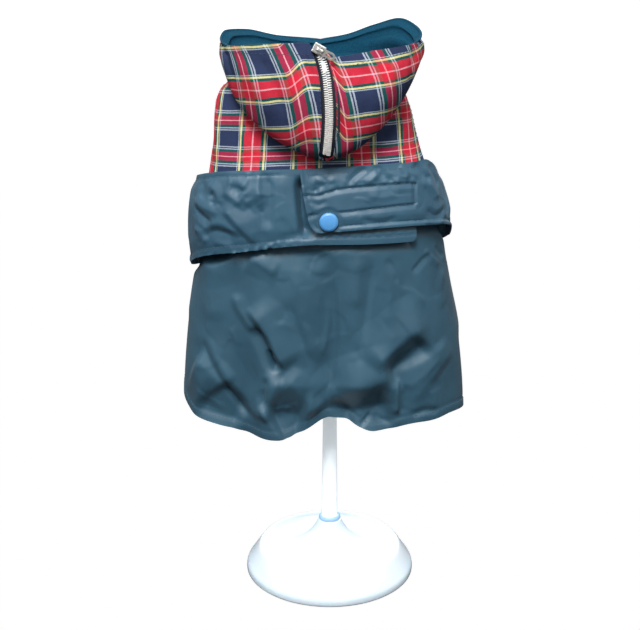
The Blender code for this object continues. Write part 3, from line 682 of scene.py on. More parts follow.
# How far apart the tartan's twill lines and the nylon's threads lie, in millimetres.
TWILL_PITCH, WEAVE_PITCH = 1.15, 0.7


def stripes(finish, place, sett):
    """The colours of one set of threads and how strongly they show, repeated for ever."""
    half = sett[-1][0]
    repeat = finish.sum("FRACT", finish.sum("MULTIPLY_ADD", place, 0.5 / half, 0.5))
    away = finish.sum("MULTIPLY", finish.sum("ABSOLUTE", finish.sum("SUBTRACT", repeat, 0.5)), 2.0)
    starts = [0.0] + [end / half for end, _, _ in sett[:-1]]
    stops = [(start, (*colour, weight)) for start, (_, colour, weight) in zip(starts, sett)]
    return finish.ramp(away, stops, constant=True)


def tartan_cloth():
    """A twill tartan: two sets of stripes that mix where they cross."""
    finish = Finish("tartan_cloth", NAVY, 0.86, Specular_IOR_Level=0.25)
    apart = finish.add("SeparateXYZ")
    finish.feed(apart.inputs[0], finish.add("UVMap", uv_map="cloth").outputs[0])
    fuzz = finish.noise(0.9, 3)
    wander = finish.noise(0.06, 2)
    places = []
    for axis in (0, 1):
        moved = finish.sum("MULTIPLY_ADD", fuzz, 0.5, apart.outputs[axis])
        places.append(finish.sum("MULTIPLY_ADD", wander, 1.2, moved))
    (wide, wide_weight), (narrow, narrow_weight) = (
        stripes(finish, places[0], SETT_WIDE), stripes(finish, places[1], SETT_NARROW)
    )
    slant = finish.sum("ADD", apart.outputs[0], apart.outputs[1])
    twill = finish.sum("SINE", finish.sum("MULTIPLY", slant, 2 * math.pi / TWILL_PITCH))
    total = finish.sum("ADD", wide_weight, narrow_weight)
    share = finish.sum("DIVIDE", narrow_weight, total)
    share = finish.sum("MULTIPLY_ADD", twill, 0.10, share)
    crossed = finish.mix(share, wide, narrow)
    mottle = finish.ramp(finish.noise(0.35, 4, 0.6), [(0.3, (0.86, 0.86, 0.86, 1)), (0.7, (1, 1, 1, 1))])[0]
    finish.colour(finish.mix(1.0, crossed, mottle, "MULTIPLY"))
    soft = finish.bump(finish.noise(1.1, 4, 0.6), 0.35, 0.55)
    finish.bump(twill, 0.08, 0.5, under=soft)
    return finish.material


def nylon_cloth(name, colour, dark, roughness):
    """Closely woven coated nylon: a soft satin shine, a fine square weave and small crinkles."""
    finish = Finish(name, colour, roughness, Specular_IOR_Level=0.5, Sheen_Weight=0.05, Sheen_Roughness=0.5)
    patches = finish.noise(0.035, 3, 0.55)
    finish.tone(patches, 0.3, dark, 0.68, colour)
    finish.roughness(finish.noise(0.12, 3), roughness - 0.06, roughness + 0.08)
    crinkle = finish.noise(0.09, 2, 0.45, stretch=(1.0, 1.0, 0.7), distortion=0.3)
    soft = finish.bump(crinkle, 0.9, 0.25)
    apart = finish.add("SeparateXYZ")
    finish.feed(apart.inputs[0], finish.add("UVMap", uv_map="cloth").outputs[0])
    turns = [finish.sum("MULTIPLY", apart.outputs[axis], 2 * math.pi / WEAVE_PITCH) for axis in (0, 1)]
    threads = [finish.sum("SINE", turn) for turn in turns]
    finish.bump(finish.sum("MULTIPLY", *threads), 0.03, 0.5, under=soft)
    return finish.material


def fleece_cloth():
    """Short matted fleece pile with soft tufts."""
    finish = Finish("fleece_pile", linear(8, 54, 74), 0.97, Specular_IOR_Level=0.15)
    tufts = finish.noise(1.3, 4, 0.6)
    finish.tone(tufts, 0.3, linear(2, 44, 62), 0.72, linear(10, 62, 84))
    soft = finish.bump(finish.noise(0.14, 3), 1.2, 0.4)
    finish.bump(tufts, 0.4, 0.5, under=soft)
    return finish.material


def tape_cloth():
    finish = Finish("zip_tape_cloth", linear(20, 24, 34), 0.82)
    ribs = finish.noise(1.4, 2, stretch=(0.4, 0.4, 1.6))
    finish.tone(ribs, 0.3, linear(12, 15, 24), 0.7, linear(34, 40, 54))
    finish.bump(ribs, 0.15, 0.6)
    return finish.material


def metal(name, colour, roughness, metallic=1.0):
    """Nickel-plated zip metal with fine wear."""
    finish = Finish(name, colour, roughness, Metallic=metallic)
    wear = finish.noise(0.6, 4, 0.6)
    finish.tone(wear, 0.3, [c * 0.72 for c in colour], 0.65, colour)
    finish.roughness(finish.noise(1.5, 3), roughness - 0.08, roughness + 0.14)
    finish.bump(finish.noise(2.4, 2), 0.05, 0.3)
    return finish.material


def moulded(name, colour, shade, roughness, **sockets):
    """Injection-moulded plastic with a faint cloudiness and a very fine texture."""
    finish = Finish(name, colour, roughness, **sockets)
    cloud = finish.noise(0.03, 3)
    finish.tone(cloud, 0.3, shade, 0.7, colour)
    finish.roughness(finish.noise(0.2, 3), roughness - 0.05, roughness + 0.07)
    finish.bump(finish.noise(0.9, 2), 0.03, 0.35)
    return finish.material


def thread(name, colour):
    finish = Finish(name, colour, 0.6, Sheen_Weight=0.2)
    twist = finish.noise(3.0, 1)
    finish.tone(twist, 0.3, [c * 0.6 for c in colour], 0.7, colour)
    return finish.material


TARTAN = tartan_cloth()
NYLON = nylon_cloth("nylon_skirt", linear(46, 82, 100), linear(40, 74, 92), 0.50)
# The belt's copy of the skirt's nylon is a touch lighter: painted light, for the belt catching more of the
# lamps.
NYLON_BELT_LIT = nylon_cloth("nylon_belt_lit", linear(47, 83, 103), linear(39, 74, 94), 0.48)
FLEECE = fleece_cloth()
TAPE = tape_cloth()
ZIP_METAL = metal("zip_nickel", linear(240, 238, 233), 0.34)
TOOTH_METAL = metal("zip_tooth_nickel", linear(244, 241, 236), 0.38, 0.25)
SNAP_BLUE = moulded("snap_blue", linear(82, 146, 200), linear(72, 134, 192), 0.42)
# The stand's plastic glows faintly: painted light that lifts the base and the form as if lit through.
STAND_WHITE_GLOW = moulded(
    "stand_white_glow", linear(218, 230, 239), linear(211, 225, 236), 0.22,
    Subsurface_Weight=0.15, Coat_Weight=0.3, Coat_Roughness=0.1,
    Emission_Color=(0.86, 0.95, 1.0, 1.0), Emission_Strength=0.04,
)
# The stem's plastic glows strongly: painted light that brightens it as if lit through.
STEM_WHITE_GLOW = moulded(
    "stem_white_glow", linear(238, 246, 251), linear(232, 243, 250), 0.22,
    Emission_Color=(0.90, 0.97, 1.0, 1.0), Emission_Strength=0.42,
)
# Pale blue of the ring at the stem's foot: painted shade where the stem goes into the collar.
FOOT_SHADE_BLUE = moulded("foot_shade_blue", linear(172, 205, 238), linear(158, 194, 232), 0.3)
NYLON_THREAD = thread("nylon_thread", linear(48, 84, 104))
DARK_THREAD = thread("dark_thread", linear(34, 46, 72))


def finish_cloth(obj, material, node):
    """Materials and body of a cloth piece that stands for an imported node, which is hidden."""
    obj.data.materials.append(material)
    on_body(obj, node)


def on_body(obj, node=None):
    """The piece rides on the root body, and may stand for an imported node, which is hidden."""
    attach(obj, BODY_NAME)
    if node:
        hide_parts(node)


# ---------------------------------------------------------------- skirt

# Each fold: how wide it slopes on its left and on its right, its depth (ridge +, trough -), and the places
# (across, up) along its line.
SKIRT_CREASES = [
    # Slack held in under the belt: a pocket on the left, then a long shallow bay and a dent below it.
    (9, 6, -4.5, -99, 269, -91, 264, -82, 265, -73, 269),
    (5, 16, 1.4, -104, 262, -96, 256, -86, 256, -72, 263, -60, 270),
    (8, 13, -2.4, -46, 271, -24, 270, -6, 268, 1, 271), (10, 11, 2, -60, 266, -50, 262, -36, 256),
    # The arched fold that sweeps down to the left of the middle, with its hard crease.
    (20, 4.5, 4.4, -60, 230, -50, 219, -43, 206, -39, 195, -33, 181),
    (4.5, 9, -4.6, -55, 217, -49, 207, -45, 198, -41, 189, -36, 180),
    (3, 5, -4, -44, 199, -41, 190, -37, 182), (9, 5, 1.5, -70, 240, -67, 229, -60, 219, -55, 211),
    # Below the point of that fold: a step on the left, a raised edge on the right, and the hollow between.
    (6, 12, 3.4, -36, 180, -41, 168, -45, 155, -49, 140), (3, 5, -2.2, -46, 178, -49, 164, -51, 150),
    (24, 24, 4.6, -36, 179, -27, 171, -18, 159, -8, 146),
    (26, 30, -7.8, -45, 141, -37, 145, -28, 146, -17, 144), (2.5, 4, 0.9, -41, 149, -35, 152, -28, 151),
    # Long slanting folds on the left.
    (5, 16, -2.4, -99, 204, -91, 188, -81, 170, -70, 154, -60, 138),
    (14, 6, 2.2, -92, 206, -82, 187, -72, 170, -60, 152, -52, 138),
    (3, 5, -2.2, -80, 168, -72, 156, -64, 142), (16, 32, 4.4, -104, 186, -98, 182, -89, 176, -79, 164),
    (26, 12, -4, -104, 152, -93, 147, -80, 142, -68, 137), (16, 12, 1.2, -88, 262, -90, 238, -86, 214),
    # Upright folds down the middle.
    (15, 19, 1.4, -26, 262, -22, 237, -17, 210, -12, 184),
    (4, 12, -1.8, 1, 266, 2, 236, 3, 206, 0, 176, -3, 148),
    (2.5, 3.5, 0.9, -2, 238, -1, 222, -3, 206, -7, 190), (5, 3, -0.9, -30, 236, -21, 207, -13, 182),
    (7, 9, 1.2, 19, 270, 20, 250, 18, 228), (4, 13, -1.4, 29, 268, 28, 244, 24, 214, 22, 186),
    (9, 11, 0.9, 46, 264, 44, 240, 38, 214),
    # The slanting fold on the right and the deep scoop under it.
    (28, 16, 4.8, 30, 184, 39, 193, 50, 202, 62, 211, 73, 215),
    (16, 18, -5.6, 40, 176, 51, 183, 61, 192, 72, 203), (6, 18, 1.8, 46, 176, 58, 180, 74, 188, 94, 200),
    (26, 25, 5.4, -2, 153, 9, 164, 22, 172, 38, 177, 51, 180),
    (22, 24, -8.2, 1, 146, 15, 150, 30, 150, 49, 154), (8, 2.5, 2.8, 52, 144, 51, 158, 51, 174),
    (3, 7, -1.2, 55, 144, 56, 158, 57, 170), (5, 6, 0.6, 17, 144, 27, 148, 36, 148),
    (2.5, 4, -1.6, 21, 139, 28, 142, 34, 147), (3, 3.5, -1.2, 36, 146, 42, 140, 50, 138),
    (4, 4, -1.3, 62, 143, 72, 148, 84, 146), (7, 10, 1.1, 98, 192, 84, 182, 70, 166, 62, 152),
    # Fine creases high on the right.
    (2.5, 5, -1, 58, 253, 68, 262, 77, 266), (2.5, 5, 0.9, 69, 270, 78, 261, 86, 255),
    (3, 3, -0.8, 80, 270, 88, 262, 94, 262), (2.5, 4, -0.8, 40, 266, 46, 256, 48, 246),
    (5, 7, 0.8, 90, 252, 85, 238, 88, 222),
    # Both sides, where the skirt ends.
    (10, 10, 1.3, -118, 270, -121, 240, -117, 205), (7, 8, -1.3, -130, 258, -134, 226, -131, 194),
    (10, 11, 1.3, 113, 262, 118, 232, 115, 190), (8, 7, -1.3, 128, 258, 131, 224, 126, 188),
]


def flap_shade(place):
    """How far the cloth beside the flap's free end sinks, as a share."""
    behind = np.interp(place[..., 1], (285, 305, 320), (-18.5, -20.5, -21.5))
    away = place[..., 0] - behind
    across = bell(away, np.where(away > 0, 6.0, 2.6))
    return across * smooth_step(280.0, 290.0, place[..., 1]) * smooth_step(327.0, 316.0, place[..., 1])


def skirt_piece():
    share, side = fine(128, 352)
    angle = SKIRT_SIDE_DEG * (2 * side - 1)
    cloth = Cloth(skirt_surface, angle, share)
    hem = along(HEM, 1, angle)
    under_belt = smooth_step(292.0, 268.0, cloth.place[..., 1])
    relief = creases(cloth.place, SKIRT_CREASES)
    relief += small_wrinkles(cloth.place, 11, 58, (-98, 135, 98, 276), 27, 4.2, 0.55)
    relief = relief * (0.15 + 0.85 * under_belt)
    covering = along(BELT_EDGES, 2, angle) + 9.0 * smooth_step(STRAP_END_DEG - 2, STRAP_END_DEG + 2, angle)
    hidden = cloth.place[..., 1] - covering
    relief -= 3.0 * bell(hidden, np.where(hidden > 0, 12.0, 4.5))
    relief -= 6.8 * flap_shade(cloth.place)
    above_hem = cloth.place[..., 1] - hem
    relief += 0.45 * smooth_step(7.2, 6.2, above_hem) - 0.55 * bell(above_hem - 6.4, 0.9)
    obj = cloth.make("skirt_cloth", relief, SHELL)
    finish_cloth(obj, NYLON, "skirt")
    across = np.linspace(0.004, 0.996, 700)
    angle_at = SKIRT_SIDE_DEG * (2 * across - 1)
    height = seam_height(angle_at) - along(HEM, 1, angle_at)
    lines = [cloth.line(5.6 / height, across)]
    for edge in (0.018, 0.982):
        lines.append(cloth.line(np.linspace(0.03, 0.97, 300), np.full(300, edge)))
    on_body(stitch_row("skirt_hem_stitches", lines, NYLON_THREAD))


# ---------------------------------------------------------------- yoke


def yoke_check(cloth, first=0.0):
    """The tartan's own millimetres on the yoke, whose cross lines stand closer than its upright ones."""
    u, z = cloth.place[..., 0], cloth.place[..., 1]
    flare = 1.0 - 0.0014 * (z - 338.0)
    bow = 0.0005 * (np.clip(u, -120, 160) - 25.0) ** 2
    return np.stack([(u + first) / flare + 16.0, (z + bow - 341.0) * 1.49], axis=-1)


YOKE_CREASES = [
    (7.2, 6.8, 1.4, -70, 372, -62, 356, -58, 338), (6.1, 5.8, -1.5, -62, 378, -53, 362, -46, 350),
    (5.8, 5.4, -1, -40, 352, -30, 342, -16, 338), (6.8, 6.5, 1.3, 60, 380, 55, 362, 57, 344),
    (5.8, 5.4, -1.4, 47, 376, 43, 360, 36, 346), (5.4, 5.1, -0.9, 20, 346, 32, 340, 48, 339),
    (8.1, 7.6, 1.2, -84, 366, -86, 348, -90, 330), (7.6, 7.1, 1.1, 78, 372, 84, 352, 88, 334),
    (6.8, 6.5, -1.2, -100, 374, -102, 352, -98, 334), (7.2, 6.8, -1.3, 96, 378, 101, 356, 103, 338),
]
CHEST_CREASES = [
    (9, 8.5, 1.6, -34, 384, -22, 352, -26, 320), (7.2, 6.8, -1.4, 6, 380, 0, 350, 8, 316),
    (9.9, 9.3, 1.5, 30, 386, 38, 352, 30, 322), (6.5, 6.1, -1.4, -70, 330, -50, 322, -30, 326),
    (6.1, 5.8, -1.3, 72, 334, 52, 320, 34, 322), (5.8, 5.4, 0.9, -16, 334, 14, 326, 44, 334),
]


def yoke_pieces():
    edge = SIDE_SEAM_DEG - 0.6
    share, side = fine(72, 236)
    cloth = Cloth(yoke_surface, edge * (2 * side - 1), share**0.8)
    relief = creases(cloth.place, YOKE_CREASES)
    relief += small_wrinkles(cloth.place, 5, 16, (-100, 325, 100, 388), 16, 2.2, 0.4)
    relief *= smooth_step(1.0, 0.88, share) * smooth_step(0.0, 0.2, share)
    obj = cloth.make("yoke_back_cloth", relief, SHELL, uv=yoke_check(cloth))
    finish_cloth(obj, TARTAN, "yoke_back")
    lines = [cloth.line(np.linspace(0.02, 0.98, 120), np.full(120, at)) for at in (0.012, 0.988)]
    on_body(stitch_row("side_seam_stitches", lines, DARK_THREAD))

    share, side = fine(60, 150)
    angle = SIDE_SEAM_DEG + (360 - 2 * SIDE_SEAM_DEG) * side
    cloth = Cloth(yoke_surface, angle, share**0.8)
    place = lay_out(cloth.base, angle - 180.0)
    cloth.place = place
    relief = creases(place, CHEST_CREASES) * smooth_step(1.0, 0.88, share) * smooth_step(0.0, 0.2, share)
    obj = cloth.make("yoke_front_cloth", relief, SHELL, uv=yoke_check(cloth, first=7.0))
    for side in (-1, 1):
        cut_armhole(obj, side)
    finish_cloth(obj, TARTAN, "yoke_front")
    rings = [armhole_line(cloth, side) for side in (-1, 1)]
    on_body(stitch_row("armhole_stitches", rings, DARK_THREAD, proud=0.2))


def armhole_frame(side):
    centre = body_point(BODY, np.array(side * ARMHOLE_ANGLE), np.array(ARMHOLE_Z))
    turn = math.radians(ARMHOLE_ANGLE)
    out = Vector((side * math.sin(turn) * 0.8, -math.cos(turn), 0))
    return centre, out.to_track_quat("Z", "Y").to_matrix()


def cut_armhole(obj, side):
    centre, facing = armhole_frame(side)
    mesh = bmesh.new()
    bmesh.ops.create_cone(mesh, cap_ends=True, segments=72, radius1=0.5, radius2=0.5, depth=1.0)
    data = bpy.data.meshes.new("armhole_cutter")
    mesh.to_mesh(data)
    mesh.free()
    size = Matrix.Diagonal((ARMHOLE_WIDTH * MM, ARMHOLE_HEIGHT * MM, ARMHOLE_CUT_DEPTH * MM, 1))
    data.transform(Matrix.Translation(Vector(centre) * MM) @ facing.to_4x4() @ size)
    cutter = bpy.data.objects.new("armhole_cutter", data)
    bpy.context.scene.collection.objects.link(cutter)
    modifier = obj.modifiers.new("armhole", "BOOLEAN")
    modifier.operation, modifier.solver, modifier.object = "DIFFERENCE", "EXACT", cutter
    graph = bpy.context.evaluated_depsgraph_get()
    made = bpy.data.meshes.new_from_object(obj.evaluated_get(graph))
    obj.modifiers.clear()
    old, obj.data = obj.data, made
    bpy.data.meshes.remove(old)
    bpy.data.objects.remove(cutter, do_unlink=True)


def armhole_line(cloth, side):
    """A ring of places a little outside an armhole's edge, on the cloth."""
    centre, facing = armhole_frame(side)
    across, up = np.array(facing.col[0]), np.array(facing.col[1])
    turns = np.linspace(0, 2 * math.pi, 160)
    wide, high = ARMHOLE_WIDTH / 2 + ARMHOLE_STITCH_BORDER, ARMHOLE_HEIGHT / 2 + ARMHOLE_STITCH_BORDER
    wanted = centre + np.outer(np.cos(turns) * wide, across) + np.outer(np.sin(turns) * high, up)
    flat, out = cloth.outer.reshape(-1, 3), cloth.normal.reshape(-1, 3)
    rays = np.array(facing.col[2])
    found, facing_out = [], []
    for one in wanted:
        offset = flat - one
        flatwise = offset - np.outer(offset @ rays, rays)
        distance = (flatwise**2).sum(axis=1)
        nearest = np.argsort(distance)[:4]
        weight = 1 / (distance[nearest] + 1e-3)
        weight /= weight.sum()
        found.append(one + rays * ((offset[nearest] @ rays) * weight).sum())
        facing_out.append((out[nearest] * weight[:, None]).sum(axis=0))
    return np.array(found), np.array(facing_out)


# ---------------------------------------------------------------- belt

STRAP_CREASES = [
    # Slanting dark troughs at the left, each with the ridge above it.
    (4, 6, -3.2, -106, 298, -96, 294, -84, 290), (9, 4, 2.2, -104, 304, -92, 300, -78, 298),
    (4, 9, -2.2, -97, 277, -82, 285, -64, 282), (9, 5, 1.7, -91, 287, -78, 291, -62, 284),
    (4, 5, 1.6, -104, 284, -96, 281, -90, 274), (4, 4, 0.7, -86, 277, -68, 275),
    # The bright three-cornered facet that points down, under a shallow V.
    (17, 4, 2.8, -76, 304, -67, 294, -58, 285, -51, 277), (5, 9, -1.8, -47, 311, -48, 296, -50, 279),
    (9, 4, 1.8, -76, 314, -61, 305), (9, 4, 1.6, -61, 305, -46, 315),
    (4.5, 8, -1.3, -68, 306, -61, 301, -54, 305),
    # Crescents above it.
    (8, 5, 1.3, -74, 319, -67, 320, -61, 317, -57, 310), (5, 7, -1.9, -71, 317, -64, 316, -61, 312),
    (7, 5, 1.8, -88, 318, -82, 312, -82, 304), (4, 4, -2.2, -86, 312, -83, 307, -85, 302),
    (5, 6, -1.4, -98, 318, -93, 312, -95, 305),
    # Upright soft folds towards the flap.
    (3, 6, 1.7, -50, 329, -50, 314, -47, 300), (4, 7, -2.2, -43, 329, -42, 308, -43, 287),
    (6, 5, 1.4, -33, 329, -32, 308, -33, 289), (3, 4, 1.2, -57, 329, -58, 322, -63, 315),
    (4, 5, -1.2, -36, 298, -30, 291, -26, 284),
    # Round the side.
    (6, 6, 1.8, -118, 316, -114, 300, -117, 282, -113, 264), (5, 5, -1.6, -126, 306, -123, 286, -127, 266),
]
FLAP_CREASES = [
    (3, 4, -1.3, 0, 324, -7, 319, -16, 315), (3, 3, 1, -12, 326, -4, 322, 4, 325),
    (4, 3, -1.5, 11, 321, 18, 327, 25, 332), (4, 3, 1.4, 22, 320, 30, 325, 35, 331),
    (4, 3, -1.5, 30, 333, 37, 325, 45, 321), (3, 3, 1.2, 48, 332, 53, 326, 52, 321),
    (4, 5, -2, 60, 333, 67, 325, 75, 317), (5, 4, -1.6, 74, 329, 81, 321, 86, 311),
    (5, 5, 1.8, 66, 322, 76, 313, 84, 303), (3, 3, -0.8, -16, 311, -9, 307, -2, 310),
    (4, 4, 0.6, 24, 313, 36, 311, 48, 313), (3, 3, -0.9, 20, 297, 34, 294, 48, 297),
    (4, 4, -1.7, 68, 300, 80, 294, 94, 297), (3, 3, 1.2, 66, 293, 78, 289, 90, 289),
    (6, 7, 2, 104, 318, 107, 302, 104, 286), (6, 6, -1.8, 116, 314, 120, 298, 117, 280),
    (5, 5, -1.6, 96, 316, 98, 302, 95, 288),
]
BELLY_CREASES = [
    (7, 8, 1.8, -62, 302, -48, 288, -52, 262), (6, 6, -1.6, -30, 304, -20, 276, -26, 250),
    (8, 9, 1.7, -8, 302, 2, 272, -4, 246), (6, 6, -1.5, 24, 304, 30, 280, 22, 254),
    (7, 8, 1.8, 50, 304, 58, 280, 54, 256),
]
# Where the under strap is gathered, and the flap's stitched lines, as places (across, up).
STRAP_GATHERS = [(-128, 251), (-100, 256), (-70, 265), (-40, 275), (0, 283), (45, 283)]
UPPER_CHANNEL = [(-19, 313.5), (-8, 313.5), (4, 317), (24, 319), (48, 319.5), (61, 318.5)]
LOWER_CHANNEL = [(-17, 299.5), (0, 301), (22, 303), (45, 304.5), (61, 304.5)]
END_CHANNEL = [(61, 318.5), (60.5, 311), (61, 304.5)]


def puckers(place, seed, line, spacing, reach, depth):
    """Small gathers that stand up from a stitched line given as places (across, up)."""
    rng = np.random.default_rng(seed)
    line = np.asarray(line, float)
    total = np.zeros(place.shape[:-1])
    at = line[0, 0]
    while at < line[-1, 0]:
        up = np.interp(at, line[:, 0], line[:, 1])
        tall = reach * rng.uniform(0.6, 1.3)
        lean = rng.uniform(-0.5, 0.5) * tall
        size = depth * rng.uniform(0.5, 1.1)
        for start, share, height in ((0.0, 1.0, 1.0), (spacing / 2, -0.8, 0.8)):
            foot, head = (at + start, up - 0.4), (at + start + lean, up + tall * height)
            total += crease(place, [foot, head], spacing * 0.36, spacing * 0.36, size * share, 0.35)
        at += spacing * rng.uniform(0.75, 1.35)
    return total


def groove(place, line, width, depth):
    return crease(place, line, width, 3 * width, -depth, 0.02)


def belt_pieces():
    share, side = fine(64, 250)
    end = STRAP_END_DEG - rounded_corner(share, STRAP_CORNER_DEG, CORNER_REACH)
    angle = -SIDE_SEAM_DEG + (end + SIDE_SEAM_DEG) * side
    cloth = Cloth(belt_surface(2, under_depth), angle, share)
    low, high = along(BELT_EDGES, 2, angle), along(BELT_EDGES, 1, angle)
    rise, fall = cloth.place[..., 1] - low, high - cloth.place[..., 1]
    covered = smooth_step(-22.0, -12.0, angle)
    relief = 0.72 * creases(cloth.place, STRAP_CREASES)
    relief += small_wrinkles(cloth.place, 21, 34, (-125, 262, -28, 328), 15, 3.0, 0.42)
    relief += puckers(cloth.place, 8, STRAP_GATHERS, 6.0, 6.0, 1.3)
    relief += 0.9 * smooth_step(4.0, 14.0, rise) * smooth_step(2.0, 12.0, fall)
    relief *= 1.0 - 0.8 * covered
    relief -= 8.2 * flap_shade(cloth.place)
    relief -= 1.2 * bell(cloth.place[..., 1] - along(BELT_EDGES, 3, angle), 3.2) * covered
    relief += 0.15 * smooth_step(5.6, 4.6, rise) - 0.3 * bell(rise - 5.0, 0.8)
    relief -= 0.5 * bell(fall - 3.6, 0.9) * (1 - covered)
    obj = cloth.make("belt_strap_cloth", relief, BELT_SHELL)
    finish_cloth(obj, NYLON_BELT_LIT, "belt_strap")
    across = np.linspace(0.006, 0.985, 500)
    angle_at = -SIDE_SEAM_DEG + (STRAP_END_DEG + SIDE_SEAM_DEG) * across
    height = along(BELT_EDGES, 1, angle_at) - along(BELT_EDGES, 2, angle_at)
    lines = [cloth.line(4.9 / height, across), cloth.line(1 - 3.6 / height, across)]
    on_body(stitch_row("strap_stitches", lines, NYLON_THREAD))

    share, side = fine(60, 190)
    end = FLAP_FOOT_DEG - FLAP_SLANT_DEG * share + rounded_corner(share, FLAP_CORNER_DEG, CORNER_REACH)
    angle = end + (SIDE_SEAM_DEG - end) * side
    cloth = Cloth(belt_surface(3, level), angle, share)
    low, high = along(BELT_EDGES, 3, angle), along(BELT_EDGES, 1, angle)
    rise, fall = cloth.place[..., 1] - low, high - cloth.place[..., 1]
    from_end = cloth.place[..., 0] - cloth.place[:, :1, 0]
    relief = 0.8 * creases(cloth.place, FLAP_CREASES)
    relief += small_wrinkles(cloth.place, 31, 34, (-14, 288, 125, 332), 13, 2.8, 0.38)
    for line in (UPPER_CHANNEL, LOWER_CHANNEL, END_CHANNEL):
        relief += groove(cloth.place, line, 1.2, 1.1)
    relief += puckers(cloth.place, 4, UPPER_CHANNEL, 7.0, 6.0, 0.5)
    padded = smooth_step(3.0, 9.0, rise) * smooth_step(2.0, 9.0, fall) * smooth_step(1.5, 8.0, from_end)
    relief += 0.8 * padded
    relief += 1.6 * smooth_step(9.0, 0.0, from_end) * smooth_step(0.0, 0.5, share)
    relief += 0.7 * smooth_step(6.0, 0.0, rise)
    rim = np.minimum(np.minimum(rise, from_end + 0.6), 30.0)
    relief += 0.35 * bell(rim - 1.6, 1.5) - 0.6 * bell(rim - 3.6, 0.8)
    snap_flat = smooth_step(11.0, 7.5, np.hypot(*np.moveaxis(cloth.place - SNAP_PLACE, -1, 0)))
    relief = relief * (1 - snap_flat)
    obj = cloth.make("belt_flap_cloth", relief, BELT_SHELL)
    finish_cloth(
        obj, NYLON_BELT_LIT, "belt_flap"
    )
    across = np.linspace(0.03, 0.99, 420)
    angle_at = -4 + (SIDE_SEAM_DEG + 4) * across
    height = along(BELT_EDGES, 1, angle_at) - along(BELT_EDGES, 3, angle_at)
    lines = [cloth.line(3.6 / height, across), cloth.line(1 - 3.2 / height, across)]
    lines += [cloth.line(np.linspace(0.12, 0.92, 90), np.full(90, 0.03))]
    lines += [cloth.through(line) for line in (UPPER_CHANNEL, LOWER_CHANNEL, END_CHANNEL)]
    on_body(stitch_row("flap_stitches", lines, NYLON_THREAD))

    share, side = fine(40, 130)
    first, last = SIDE_SEAM_DEG + BELLY_SEAM_DEG, 360 - SIDE_SEAM_DEG - BELLY_SEAM_DEG
    angle = first + (last - first) * side
    cloth = Cloth(belt_surface(3, level), angle, share)
    cloth.place = lay_out(cloth.base, angle - 180.0)
    relief = creases(cloth.place, BELLY_CREASES)
    relief += small_wrinkles(cloth.place, 41, 40, (-80, 245, 80, 300), 14, 2.6, 0.8)
    relief *= smooth_step(0, 0.1, share) * smooth_step(1, 0.9, share)
    obj = cloth.make("belt_belly_cloth", relief, BELT_SHELL)
    finish_cloth(obj, NYLON_BELT_LIT, "belt_belly")
    lines = [cloth.line(np.full(400, at), np.linspace(0.01, 0.99, 400)) for at in (0.06, 0.95)]
    on_body(stitch_row("belly_stitches", lines, NYLON_THREAD))


# ---------------------------------------------------------------- hood

HOOD_LEFT_CREASES = [
    (10.8, 10.2, 1.5, -28, 416, -23, 392, -17, 366, -12, 348), (5.8, 5.4, -1.2, -11, 412, -9, 388, -7, 362),
    (9.9, 9.3, 1.2, -62, 408, -50, 388, -40, 366), (7.2, 6.8, -1.1, -44, 412, -37, 392, -30, 370),
    (7.2, 6.8, -1.3, -84, 414, -78, 400, -70, 388), (8.1, 7.6, 1.2, -112, 416, -108, 404, -112, 394),
]
HOOD_RIGHT_CREASES = [
    (5.8, 5.4, 1.3, 8, 412, 11, 392, 13, 374, 14, 354), (9, 8.5, 1.2, 52, 410, 44, 392, 38, 372),
    (8.3, 7.8, -1, 30, 408, 27, 388, 24, 366), (7.2, 6.8, -1.2, 72, 414, 68, 400, 62, 388),
    (8.1, 7.6, 1.3, 96, 418, 98, 406, 94, 396), (7.6, 7.1, -1.2, 122, 420, 118, 408, 122, 398),
]


def hood_check(cloth, right):
    """The tartan's own millimetres on a hood panel. Its stripes lie turned, and step near the zip."""
    u, z = cloth.place[..., 0], cloth.place[..., 1]
    if right:
        step = 10.0 * smooth_step(13.0, 2.0, u) + 0.07 * (u - 13.0).clip(0)
        wide = (z - 398.5 - step) * 1.105
        narrow = (u - 43.0 + 0.15 * (z - 400.0)) * 1.015
    else:
        step = -9.0 * smooth_step(-12.0, -28.0, u) - 0.13 * (-28.0 - u).clip(0)
        wide = (z - 400.0 - step) * 1.06
        narrow = (u + 22.0 + 0.19 * (z - 400.0)) * 0.985
    return np.stack([wide, narrow], axis=-1)


# At the throat the left half laps under the right one, which stops just short of the middle.
THROAT_GAP_DEG, LINING_THROAT_GAP_DEG, THROAT_LAP_DEG = 0.05, 0.06, 0.5
# How far the cloth's and the lining's edges lie from the zip's chain.
HOOD_BESIDE_ZIP, LINING_BESIDE_ZIP = 2.1, 3.2
NECK_SEAM_DROP = 1.7
# How much of the hood's way the fleece takes where it rolls over the rim, and where the roll's crease lies.
ROLL_SHARE, ROLL_CREASE_SHARE = 0.085, 0.925


def seated_hood(angle, share):
    """The hood's outer face with its first rows tucked down into the neck seam."""
    down = NECK_SEAM_DROP * smooth_step(0.07, 0.0, np.asarray(share, float))
    return hood_surface(angle, share) - np.multiply.outer(down, np.array((0.0, 0.0, 1.0)))


def fleece_roll(angle):
    """Where the fleece rolls out over the rim: round both ends and across the far side, as a share."""
    return smooth_step(66.0, 98.0, np.abs(angle))


def hood_grid(rows, columns, beside_zip, throat_gap, right):
    """Angles and shares of one half of the hood, closest together beside the zip."""
    share, across = np.meshgrid(rows, np.linspace(0, 1, columns), indexing="ij")
    near = hood_edge_angle(share, ZIP_CHAIN_WIDTH / 2 + beside_zip)
    last = 180.0 - throat_gap if right else 180.0 + THROAT_LAP_DEG
    angle = near + (last - near) * across**1.2
    return angle if right else -angle[:, ::-1], share


